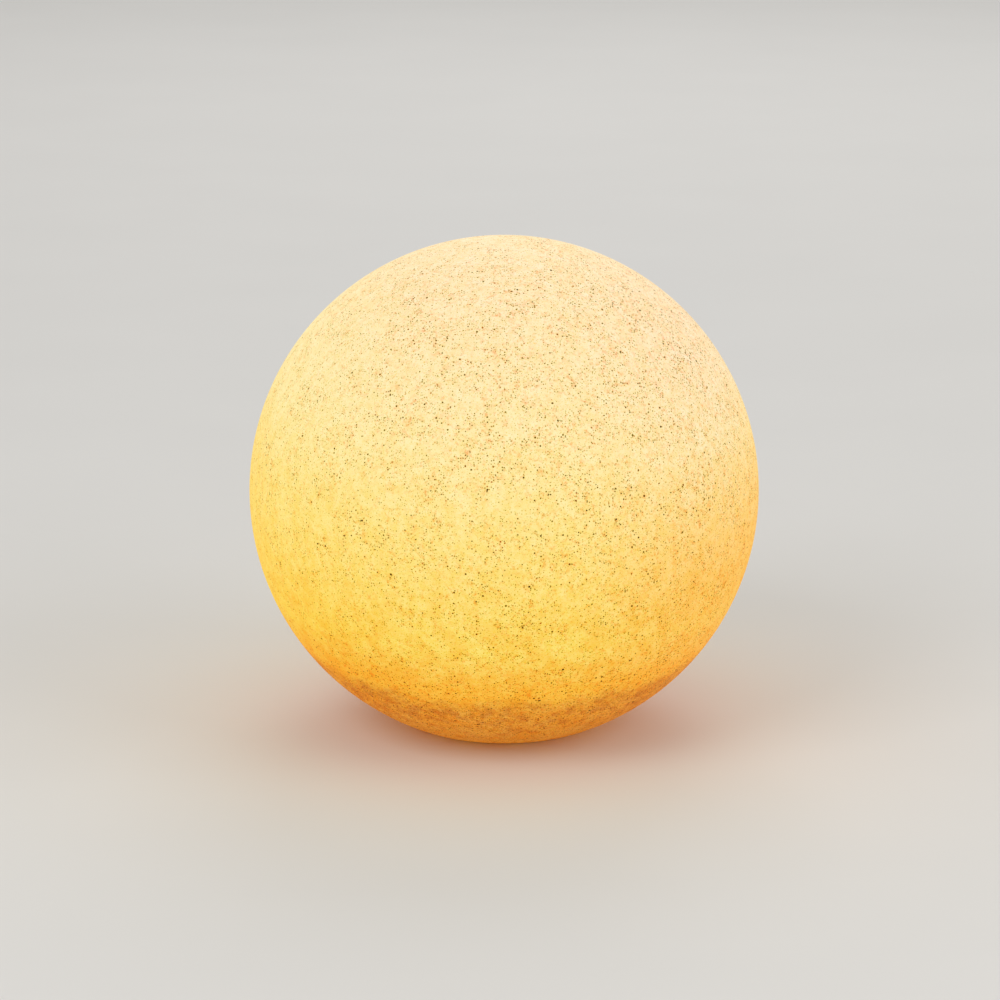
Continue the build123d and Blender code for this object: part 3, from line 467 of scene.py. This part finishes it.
def grained(g, colour, crowd, low_down):
    """The colour with mineral grains and their fringes."""
    jitter = g.noise_at(g.place, OUTLINE_NOISE_SCALE)["Color"]
    ragged = g.vector_math("MULTIPLY_ADD", jitter, (OUTLINE_WANDER,) * 3, g.place)
    fringe_tint = g.mix(low_down, FRINGE_HIGH_TINT, FRINGE_LOW_TINT)
    growth = g.rescale(crowd, *GRAIN_BY_CROWD)
    for kind in GRAIN_KINDS:
        cell = kind.cell
        distance, random = g.cells(cell, kind.shift, ragged)
        largeness = g.math("POWER", random[0], GRAIN_RARITY)
        full_radius = g.rescale(largeness, 0, 1, kind.least / cell, kind.most / cell)
        inside = g.math("SUBTRACT", g.math("MULTIPLY", full_radius, growth), distance)
        strength = g.rescale(random[1], 0, 1, kind.faint, kind.strong)
        fringe = g.rescale(inside, -FRINGE_WIDTH / cell, 0.0, soft=True)
        faded = g.math("MULTIPLY", fringe, g.math("MULTIPLY", strength, FRINGE_STRENGTH))
        colour = g.tinted(colour, faded, fringe_tint)
        grain = g.rescale(inside, *(edge / cell for edge in GRAIN_EDGE), soft=True)
        shade = g.ramp(random[2], GRAIN_SHADES)
        colour = g.tinted(colour, g.math("MULTIPLY", grain, strength), shade)
    return colour


def stone_skin():
    """Translucent cream skin with mineral grains, lit from inside."""
    g = Graph("stone_look_skin")
    x, y, z = g.split(g.place)
    height = g.math("DIVIDE", g.math("SUBTRACT", z, BALL_Z), BALL_RADIUS)
    side = g.math("DIVIDE", x, BALL_RADIUS)
    low_down = g.rescale(height, *LOW_SPAN, soft=True)
    yellowing = g.rescale(height, *YELLOW_SPAN, soft=True)
    crowd = crowding(g, height, side)
    colour = clear_skin(g, height, side)
    colour = shaded_foot(g, colour, height, side)
    colour = shaded_recess(g, colour, x, y, z)
    colour = clouded(g, colour, low_down, yellowing)
    colour = smudged(g, colour, crowd, yellowing)
    colour = grained(g, colour, crowd, low_down)
    g.bump(g.noise(scale=900, detail=3, roughness=0.6, shift=0.19), 0.05 * MM, 0.25)
    return g.finish(
        Base_Color=g.times(colour, BASE_SHARE),
        Emission_Color=g.times(colour, GLOW_GAIN * (1 - BASE_SHARE)),
        Emission_Strength=1.0,
        Roughness=SKIN_ROUGHNESS,
        Specular_IOR_Level=SKIN_SPECULAR,
    )


# ------------------------------------------------------------------ other finishes
PALER = 1.07
ROUGHNESS_PLAY = 0.06
METAL_STAIN = 0.85
METAL_LINES_SCALE = 1600.0
OPAL_BASE_SHARE = 0.18


def moulded(name, colour, roughness, grain, relief, specular=0.5, streak=0.86):
    """Moulded plastic or rubber: faint flow streaks and a fine eroded texture, its relief in mm."""
    g = Graph(name)
    flow = g.noise(scale=35, detail=4, roughness=0.6, shift=0.13, distortion=0.6)
    dark = tuple(value * streak for value in colour)
    light = tuple(min(1.0, value * PALER) for value in colour)
    fine = g.noise(scale=grain, detail=3, roughness=0.6, shift=0.37)
    tone = g.mix(g.rescale(flow, 0.35, 0.65, soft=True), dark, light)
    tone = g.mix(g.rescale(fine, 0.4, 0.7, 0.0, 0.25), tone, dark)
    smoothest = roughness - ROUGHNESS_PLAY
    roughest = min(1.0, roughness + ROUGHNESS_PLAY)
    g.bump(fine, relief * MM, 0.6)
    varied = g.rescale(fine, 0.3, 0.7, smoothest, roughest)
    return g.finish(Base_Color=tone, Roughness=varied, Specular_IOR_Level=specular)


def metal(name, colour, roughness, brushed=(1.0, 1.0, 1.0)):
    """Metal with fine machining lines, brushed by stretching them, and faint staining."""
    g = Graph(name)
    lines = g.noise_at(g.vector_math("MULTIPLY", g.place, brushed), METAL_LINES_SCALE)["Fac"]
    tarnish = Pattern(scale=160, detail=4, roughness=0.6, shift=0.29, start=0.35, full=0.7)
    dull = tuple(value * METAL_STAIN for value in colour)
    tone = g.mix(g.pattern(tarnish), colour, dull)
    varied = g.rescale(lines, 0.3, 0.7, roughness - 0.07, roughness + 0.09)
    g.bump(lines, 0.02 * MM, 0.5)
    return g.finish(Base_Color=tone, Metallic=1.0, Roughness=varied)


def lamp_opal():
    """Frosted lamp dome, lit."""
    g = Graph("lamp_opal")
    frost = g.noise(scale=1200, detail=2, roughness=0.5, shift=0.21)
    low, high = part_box("bulb_diffuser")
    fade = g.rescale(g.split(g.place)[2], low.z, high.z, soft=True)
    tone = g.mix(fade, from_srgb(255, 216, 160), from_srgb(255, 238, 206))
    tone = g.mix(g.rescale(frost, 0.35, 0.65, 0.0, 0.12), tone, from_srgb(250, 205, 140))
    g.bump(frost, 0.02 * MM, 0.4)
    return g.finish(
        Base_Color=g.times(tone, OPAL_BASE_SHARE),
        Emission_Color=g.times(tone, 1 - OPAL_BASE_SHARE),
        Emission_Strength=1.0,
        Roughness=0.42,
    )


def steatite():
    """Ceramic, off-white with faint grey clouds."""
    g = Graph("steatite")
    clouds = Pattern(scale=120, detail=4, roughness=0.6, shift=0.43, start=0.35, full=0.7)
    tone = g.mix(g.pattern(clouds), (0.80, 0.76, 0.68), (0.70, 0.66, 0.58))
    g.bump(g.noise(scale=1500, detail=2, roughness=0.5, shift=0.09), 0.03 * MM, 0.5)
    return g.finish(Base_Color=tone, Roughness=0.55)


def led_phosphor():
    """Yellow phosphor of the light-emitting chips, lit."""
    g = Graph("led_phosphor")
    grains = g.noise(scale=2500, detail=2, roughness=0.5, shift=0.05)
    tone = g.mix(g.rescale(grains, 0.35, 0.65), (0.95, 0.70, 0.22), (1.0, 0.80, 0.34))
    base = g.times(tone, 0.2)
    return g.finish(Base_Color=base, Emission_Color=tone, Emission_Strength=1.0, Roughness=0.4)


def board_green():
    """Solder mask with copper showing as paler tracks."""
    g = Graph("board_green")
    tracks = g.add("ShaderNodeTexBrick")
    mask = {"Color1": (0.03, 0.20, 0.08), "Color2": (0.04, 0.24, 0.10), "Mortar": (0.10, 0.34, 0.16)}
    g.put_all(tracks, Vector=g.place, Scale=160.0, **mask)
    return g.finish(Base_Color=tracks.outputs["Color"], Roughness=0.35)


finishes = {
    "stone_look_shell": stone_skin(),
    "brass": metal("machined_brass", (0.80, 0.60, 0.27), 0.28, (1, 1, 6)),
    "tray_black": moulded("tray_black", (0.022, 0.022, 0.023), 0.55, 1100, 0.04),
    "seal_rubber": moulded("seal_rubber", (0.035, 0.035, 0.036), 0.82, 500, 0.04, 0.3),
    "foot_rubber": moulded("foot_rubber", (0.055, 0.054, 0.052), 0.88, 450, 0.05, 0.3),
    "stainless": metal("stainless_steel", (0.62, 0.61, 0.59), 0.24),
    "zinc_steel": metal("zinc_plate", (0.66, 0.66, 0.63), 0.30),
    "gland_nylon": moulded("gland_nylon", (0.030, 0.030, 0.032), 0.42, 900, 0.02),
    "terminal_ivory": moulded("terminal_ivory", (0.74, 0.70, 0.58), 0.38, 800, 0.015),
    "plate_white": moulded("plate_white", (0.80, 0.80, 0.77), 0.45, 900, 0.03, streak=0.95),
    "holder_black": moulded("holder_phenolic", (0.018, 0.017, 0.017), 0.30, 600, 0.012, 0.55),
    "steatite": steatite(),
    "contact_brass": metal("contact_brass", (0.82, 0.66, 0.36), 0.26, (8, 1, 1)),
    "shell_nickel": metal("shell_nickel", (0.68, 0.65, 0.60), 0.22, (1, 1, 10)),
    "brown_insulation": moulded("brown_insulation", (0.16, 0.060, 0.022), 0.40, 1500, 0.01),
    "blue_insulation": moulded("blue_insulation", (0.022, 0.11, 0.48), 0.40, 1500, 0.01),
    "lamp_opal": lamp_opal(),
    "lamp_white": moulded("lamp_white", (0.82, 0.82, 0.79), 0.30, 1400, 0.01, streak=0.96),
    "cap_aluminium": metal("cap_aluminium", (0.77, 0.77, 0.76), 0.27, (1, 1, 10)),
    "insulator_dark": moulded("insulator_dark", (0.020, 0.014, 0.020), 0.14, 300, 0.02, 0.6),
    "board_white": moulded("board_white", (0.80, 0.80, 0.77), 0.38, 1600, 0.005, streak=0.96),
    "led_phosphor": led_phosphor(),
    "board_green": board_green(),
    "capacitor_sleeve": moulded("capacitor_sleeve", (0.025, 0.025, 0.045), 0.32, 900, 0.01),
    "coil_varnish": moulded("coil_varnish", (0.30, 0.11, 0.03), 0.30, 2000, 0.04),
}


def dress(obj, material):
    """The material in every slot of the object."""
    if not obj.data.materials:
        obj.data.materials.append(material)
    for index in range(len(obj.data.materials)):
        obj.data.materials[index] = material


slot_of = {entry["node"]: entry["material_slot"] for entry in frame["record"]["subparts"]}
for name, node in nodes.items():
    dress(node, finishes[slot_of[name]])


# ------------------------------------------------------------------ mesh helpers
def linked(name, data):
    """A new object in the scene."""
    obj = bpy.data.objects.new(name, data)
    bpy.context.scene.collection.objects.link(obj)
    return obj


def mesh_from(name, work):
    """A mesh with what the bmesh holds, which is then freed."""
    mesh = bpy.data.meshes.new(name)
    work.to_mesh(mesh)
    work.free()
    return mesh


def add_piece(name, mesh, body, slot_name, replaced):
    """An object that rides on a body, takes a slot's finish and stands for a CAD node."""
    piece = linked(name, mesh)
    dress(piece, finishes[slot_name])
    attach(piece, body)
    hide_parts(replaced)


def smooth(mesh, angle):
    """Smooth shading with sharp edges above the angle."""
    mesh.shade_smooth()
    mesh.set_sharp_from_angle(angle=math.radians(angle))


def spun(name, outline, segments, radius_at=None):
    """Closed mesh: an outline of (radius, height) points turned about Z. A radius of 0 is a pole."""
    work = bmesh.new()
    rings = []
    for radius, height in outline:
        if radius == 0:
            rings.append([work.verts.new((0, 0, height))])
            continue
        ring = []
        for step in range(segments):
            angle = 2 * math.pi * step / segments
            reach = radius_at(radius, height, angle) if radius_at else radius
            ring.append(work.verts.new((reach * math.cos(angle), reach * math.sin(angle), height)))
        rings.append(ring)
    pairs = list(zip(rings, rings[1:]))
    if len(rings[0]) > 1 and len(rings[-1]) > 1:
        pairs.append((rings[-1], rings[0]))
    for first, second in pairs:
        for step in range(segments):
            following = (step + 1) % segments
            corners = [first[step % len(first)], first[following % len(first)]]
            corners += [second[following % len(second)], second[step % len(second)]]
            unique = list(dict.fromkeys(corners))
            if len(unique) > 2:
                work.faces.new(unique)
    bmesh.ops.recalc_face_normals(work, faces=work.faces)
    return mesh_from(name, work)


def arc(centre_radius, centre_height, radius, start, end, steps):
    """Points (radius, height) on an arc, angles in degrees from the outward direction."""
    points = []
    for step in range(steps + 1):
        angle = math.radians(start + (end - start) * step / steps)
        points.append((centre_radius + radius * math.cos(angle), centre_height + radius * math.sin(angle)))
    return points


def cutter(work):
    """An object for a boolean, which combined() removes again."""
    return linked("cutter", mesh_from("cutter", work))


def cylinder(radius, low, high, x=0.0, y=0.0):
    """Upright cylinder for a boolean."""
    work = bmesh.new()
    place = Matrix.Translation((x, y, (low + high) / 2))
    size = {"radius1": radius, "radius2": radius, "depth": high - low}
    bmesh.ops.create_cone(work, cap_ends=True, segments=CUTTER_SEGMENTS, matrix=place, **size)
    return cutter(work)


def block(low, high):
    """Block between two corners, for a boolean."""
    work = bmesh.new()
    centre = tuple((start + end) / 2 for start, end in zip(low, high))
    size = tuple(end - start for start, end in zip(low, high))
    place = Matrix.Translation(centre) @ Matrix.Diagonal((*size, 1.0))
    bmesh.ops.create_cube(work, size=1.0, matrix=place)
    return cutter(work)


def arched_bar(half, roof, start, end, low):
    """Round-topped bar along Y, for a boolean."""
    crown = roof - half
    section = [(-half, low), (half, low)]
    for step in range(ARCH_STEPS + 1):
        angle = math.pi * step / ARCH_STEPS
        section.append((half * math.cos(angle), crown + half * math.sin(angle)))
    work = bmesh.new()
    near = [work.verts.new((x, start, z)) for x, z in section]
    far = [work.verts.new((x, end, z)) for x, z in section]
    work.faces.new(near)
    work.faces.new(list(reversed(far)))
    for step in range(len(section)):
        following = (step + 1) % len(section)
        work.faces.new((near[step], far[step], far[following], near[following]))
    bmesh.ops.recalc_face_normals(work, faces=work.faces)
    return cutter(work)


def combined(mesh, steps):
    """The mesh after a list of (operation, cutter) booleans. The cutters are removed."""
    obj = linked("work", mesh)
    for operation, tool in steps:
        change = obj.modifiers.new("change", "BOOLEAN")
        change.operation = operation
        change.solver = "EXACT"
        change.object = tool
    bpy.context.view_layer.update()
    evaluated = obj.evaluated_get(bpy.context.evaluated_depsgraph_get())
    result = bpy.data.meshes.new_from_object(evaluated)
    for used in [obj] + [step[1] for step in steps]:
        bpy.data.objects.remove(used)
    return result


# ------------------------------------------------------------------ ball
def ball_outline():
    """The shell's section, from the outside's pole round the lip, recess and neck to the inside's pole."""
    inner = BALL_RADIUS - BALL_WALL
    lip_centre_z = LIP_Z + LIP_ROUNDING
    lip_centre = math.sqrt((BALL_RADIUS - LIP_ROUNDING) ** 2 - (BALL_Z - lip_centre_z) ** 2)
    lean = math.degrees(math.atan2(BALL_Z - lip_centre_z, lip_centre))
    floor = CEILING_Z + BALL_WALL
    neck_top = CEILING_Z + NECK_HEIGHT
    neck_outer = NECK_RADIUS + BALL_WALL
    fold = REBATE_RADIUS + BALL_WALL
    fold_drop = BALL_Z - LIP_Z - BALL_WALL
    fold_lean = -math.degrees(math.asin(fold_drop / inner))
    edge = EDGE_ROUNDING
    outline = arc(0, BALL_Z, BALL_RADIUS, 90, -lean, OUTSIDE_STEPS)
    outline[0] = (0.0, BALL_Z + BALL_RADIUS)
    outline += arc(lip_centre, lip_centre_z, LIP_ROUNDING, -lean, -90, LIP_STEPS)[1:]
    outline += arc(REBATE_RADIUS + edge, LIP_Z + edge, edge, -90, -180, EDGE_STEPS)
    outline += [(REBATE_RADIUS, CEILING_Z)]
    outline += arc(NECK_RADIUS + edge, CEILING_Z + edge, edge, -90, -180, EDGE_STEPS)
    outline += arc(NECK_RADIUS + edge, neck_top - edge, edge, 180, 90, EDGE_STEPS)
    outline += arc(neck_outer - edge, neck_top - edge, edge, 90, 0, EDGE_STEPS)
    outline += [(neck_outer, floor), (fold, floor), (fold, LIP_Z + BALL_WALL)]
    outline += arc(0, BALL_Z, inner, fold_lean, 90, INSIDE_STEPS)
    outline[-1] = (0.0, BALL_Z + inner)
    return outline


def at_bosses(radius, low, high):
    """An upright cylinder at each screw boss."""
    turns = [math.radians(angle) for angle in BOSS_ANGLES]
    places = [(BOSS_CIRCLE * math.cos(turn), BOSS_CIRCLE * math.sin(turn)) for turn in turns]
    return [cylinder(radius, low, high, x, y) for x, y in places]


def build_ball():
    """The ball: its spun shell, then the bosses, the solid round the cord's arch, and the openings."""
    boss_top = CEILING_Z + BOSS_HEIGHT
    bosses = at_bosses(BOSS_RADIUS, CEILING_Z + BALL_WALL / 2, boss_top)
    bores = at_bosses(BOSS_BORE, CEILING_Z - MM, boss_top - BALL_WALL / 2)
    arch_end = math.sqrt(BALL_RADIUS**2 - (BALL_Z - ARCH_ROOF) ** 2)
    solid = block(
        (-ARCH_HALF - BALL_WALL, REBATE_RADIUS + BALL_WALL / 2, LIP_Z + MM),
        (ARCH_HALF + BALL_WALL, arch_end - BALL_WALL * 1.5, ARCH_ROOF + BALL_WALL),
    )
    # just inside the neck's wall, so that the faces don't coincide, and past the tops of the bosses
    neck = cylinder(NECK_RADIUS - EDGE_ROUNDING / 50, CEILING_Z - MM, 2 * CEILING_Z + NECK_HEIGHT)
    arch = arched_bar(ARCH_HALF, ARCH_ROOF, REBATE_RADIUS - MM, BALL_RADIUS, LIP_Z - MM)
    steps = [("UNION", boss) for boss in bosses]
    steps += [("DIFFERENCE", bore) for bore in bores]
    steps += [("UNION", solid), ("DIFFERENCE", neck), ("DIFFERENCE", arch)]
    mesh = combined(spun("ball_skin", ball_outline(), BALL_SEGMENTS), steps)
    smooth(mesh, BALL_SHARP_ANGLE)
    add_piece("ball_skin", mesh, "globe", "stone_look_shell", "globe_shell")


# ------------------------------------------------------------------ lamp thread
def thread_radius(low, high):
    """Radius rule of a right-hand rolled thread between two heights, fading at both ends."""

    def rule(radius, height, angle):
        share = min((height - low) / THREAD_RUN_OUT, (high - height) / THREAD_RUN_OUT)
        share = max(0.0, min(1.0, share))
        share = share * share * (3 - 2 * share)
        wave = (math.cos(2 * math.pi * height / THREAD_LEAD - angle) - 1) / 2
        return radius + share * THREAD_DEPTH * wave

    return rule


def thread_heights(low, high):
    """Heights of the rings of a threaded wall that stands between two heights."""
    step = THREAD_LEAD / RINGS_PER_TURN
    count = int((high - low - 2 * THREAD_MARGIN) / step)
    return [low + THREAD_MARGIN + step * index for index in range(count + 1)]


def threaded(name, outline, low, high):
    """The outline turned about Z, with a thread between two heights."""
    mesh = spun(name, outline, THREAD_SEGMENTS, thread_radius(low, high))
    smooth(mesh, THREAD_SHARP_ANGLE)
    return mesh


def build_lamp_cap():
    """Rolled metal cap with its thread, a turned-in lower edge and a rim at the top."""
    low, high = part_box("bulb_cap")
    outer = high.x
    inner = outer - CAP_WALL
    lip = outer - CAP_CURL
    heights = thread_heights(low.z, high.z)
    outline = [(lip - CAP_WALL, low.z), (lip, low.z)]
    outline += arc(lip, low.z + CAP_CURL, CAP_CURL, -90, 0, CURL_STEPS)[1:]
    outline += [(outer, height) for height in heights]
    outline += [(outer, high.z - CAP_RIM), (outer, high.z), (inner, high.z)]
    outline += [(inner, height) for height in reversed(heights)]
    outline += [(inner, low.z + CAP_CURL), (lip - CAP_WALL, low.z + CAP_LOW_WALL)]
    start, end = CAP_THREAD_ENDS
    mesh = threaded("lamp_cap_thread", outline, low.z + start, high.z - end)
    add_piece("lamp_cap_thread", mesh, "bulb_body", "cap_aluminium", "bulb_cap")


def build_screw_sleeve():
    """Rolled sleeve of the holder: the same thread, wider all round, and its inward floor."""
    low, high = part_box("screw_shell")
    outer = high.x
    inner = outer - SLEEVE_WALL
    heights = thread_heights(low.z, high.z)
    outline = [(SLEEVE_FLOOR_BORE, low.z), (outer, low.z), (outer, low.z + SLEEVE_FOOT)]
    outline += [(outer, height) for height in heights]
    outline += [(outer, high.z), (inner, high.z)]
    outline += [(inner, height) for height in reversed(heights)]
    outline += [(inner, low.z + SLEEVE_WALL), (SLEEVE_FLOOR_BORE, low.z + SLEEVE_WALL)]
    start, end = SLEEVE_THREAD_ENDS
    mesh = threaded("holder_screw_sleeve", outline, low.z + start, high.z - end)
    add_piece("holder_screw_sleeve", mesh, "base", "shell_nickel", "screw_shell")


# ------------------------------------------------------------------ floor, light and camera
FLOOR_HALF_SIZE = 30.0
FLOOR_COLOUR = (0.72, 0.71, 0.69)
FLOOR_STAIN = 0.985
WORLD_LIGHT = (1.0, 0.99, 0.97)
WORLD_LIGHT_STRENGTH = 0.60
WORLD_SHOWN = (0.78, 0.78, 0.77)
WORLD_SHOWN_STRENGTH = 1.0
# Name, place, width and power in watts of each soft light, all aimed at the ball.
STUDIO_LIGHTS = (
    ("key", (-1.4, -1.6, 1.9), 1.4, 20.0),
    ("fill", (1.7, -0.9, 1.2), 1.4, 11.0),
    ("rear", (0.4, 2.8, 2.4), 2.0, 24.0),
)
CAMERA_DISTANCE = 2.2
CAMERA_ELEVATION = 15.0
LENS = 134.2  # millimetres, as the sensor
SENSOR = 36.0
FRAME_WIDTH = 1000
BALL_CENTRE_PIXEL = (504.1, 489.5)  # in the photograph, from its upper left corner


def build_floor():
    """Plain pale floor with a very faint tone in it."""
    work = bmesh.new()
    bmesh.ops.create_grid(work, x_segments=1, y_segments=1, size=FLOOR_HALF_SIZE)
    floor = linked("floor", mesh_from("floor", work))
    g = Graph("floor")
    darker = tuple(value * FLOOR_STAIN for value in FLOOR_COLOUR)
    cloud = g.rescale(g.noise(scale=6, detail=3, roughness=0.5, shift=0.2), 0.3, 0.7)
    tone = g.mix(cloud, FLOOR_COLOUR, darker)
    dress(floor, g.finish(Base_Color=tone, Roughness=0.9, Specular_IOR_Level=0.1))


def background(tree, colour, strength):
    """Output of a new background shader."""
    node = tree.nodes.new("ShaderNodeBackground")
    node.inputs["Color"].default_value = (*colour, 1.0)
    node.inputs["Strength"].default_value = strength
    return node.outputs[0]


def build_world():
    """Pale surroundings: even light on the object, a paler tone where they show."""
    world = bpy.data.worlds.new("surroundings")
    bpy.context.scene.world = world
    world.use_nodes = True
    tree = world.node_tree
    tree.nodes.clear()
    output = tree.nodes.new("ShaderNodeOutputWorld")
    mix = tree.nodes.new("ShaderNodeMixShader")
    path = tree.nodes.new("ShaderNodeLightPath")
    seen = tree.nodes.new("ShaderNodeMath")
    seen.operation = "MAXIMUM"
    tree.links.new(path.outputs["Is Camera Ray"], seen.inputs[0])
    tree.links.new(path.outputs["Is Glossy Ray"], seen.inputs[1])
    tree.links.new(seen.outputs[0], mix.inputs[0])
    tree.links.new(background(tree, WORLD_LIGHT, WORLD_LIGHT_STRENGTH), mix.inputs[1])
    tree.links.new(background(tree, WORLD_SHOWN, WORLD_SHOWN_STRENGTH), mix.inputs[2])
    tree.links.new(mix.outputs[0], output.inputs["Surface"])


def build_light(name, place, size, power):
    """Square soft light aimed at the ball's centre."""
    lamp = bpy.data.lights.new(name, "AREA")
    lamp.energy = power
    lamp.size = size
    light = linked(name, lamp)
    light.location = place
    aim = Vector((0, 0, BALL_Z)) - light.location
    light.rotation_euler = aim.to_track_quat("-Z", "Y").to_euler()


def build_camera():
    """Camera from the front, looking down, that puts the ball on its pixels in the photograph."""
    lift = math.radians(CAMERA_ELEVATION)
    ball = Vector((0, 0, BALL_Z))
    out = Vector((0, -math.cos(lift), math.sin(lift)))
    up = Vector((0, math.sin(lift), math.cos(lift)))
    right = Vector((1, 0, 0))
    pixel = CAMERA_DISTANCE * SENSOR / (LENS * FRAME_WIDTH)
    half = FRAME_WIDTH / 2
    across = (BALL_CENTRE_PIXEL[0] - half) * pixel
    down = (BALL_CENTRE_PIXEL[1] - half) * pixel
    data = bpy.data.cameras.new("camera")
    data.lens = LENS
    data.sensor_width = SENSOR
    camera = linked("camera", data)
    camera.location = ball + out * CAMERA_DISTANCE - right * across + up * down
    camera.rotation_euler = (-out).to_track_quat("-Z", "Y").to_euler()
    bpy.context.scene.camera = camera


build_ball()
build_lamp_cap()
build_screw_sleeve()
build_floor()
build_world()
for light_settings in STUDIO_LIGHTS:
    build_light(*light_settings)
build_camera()
bpy.context.scene.view_settings.view_transform = "Standard"
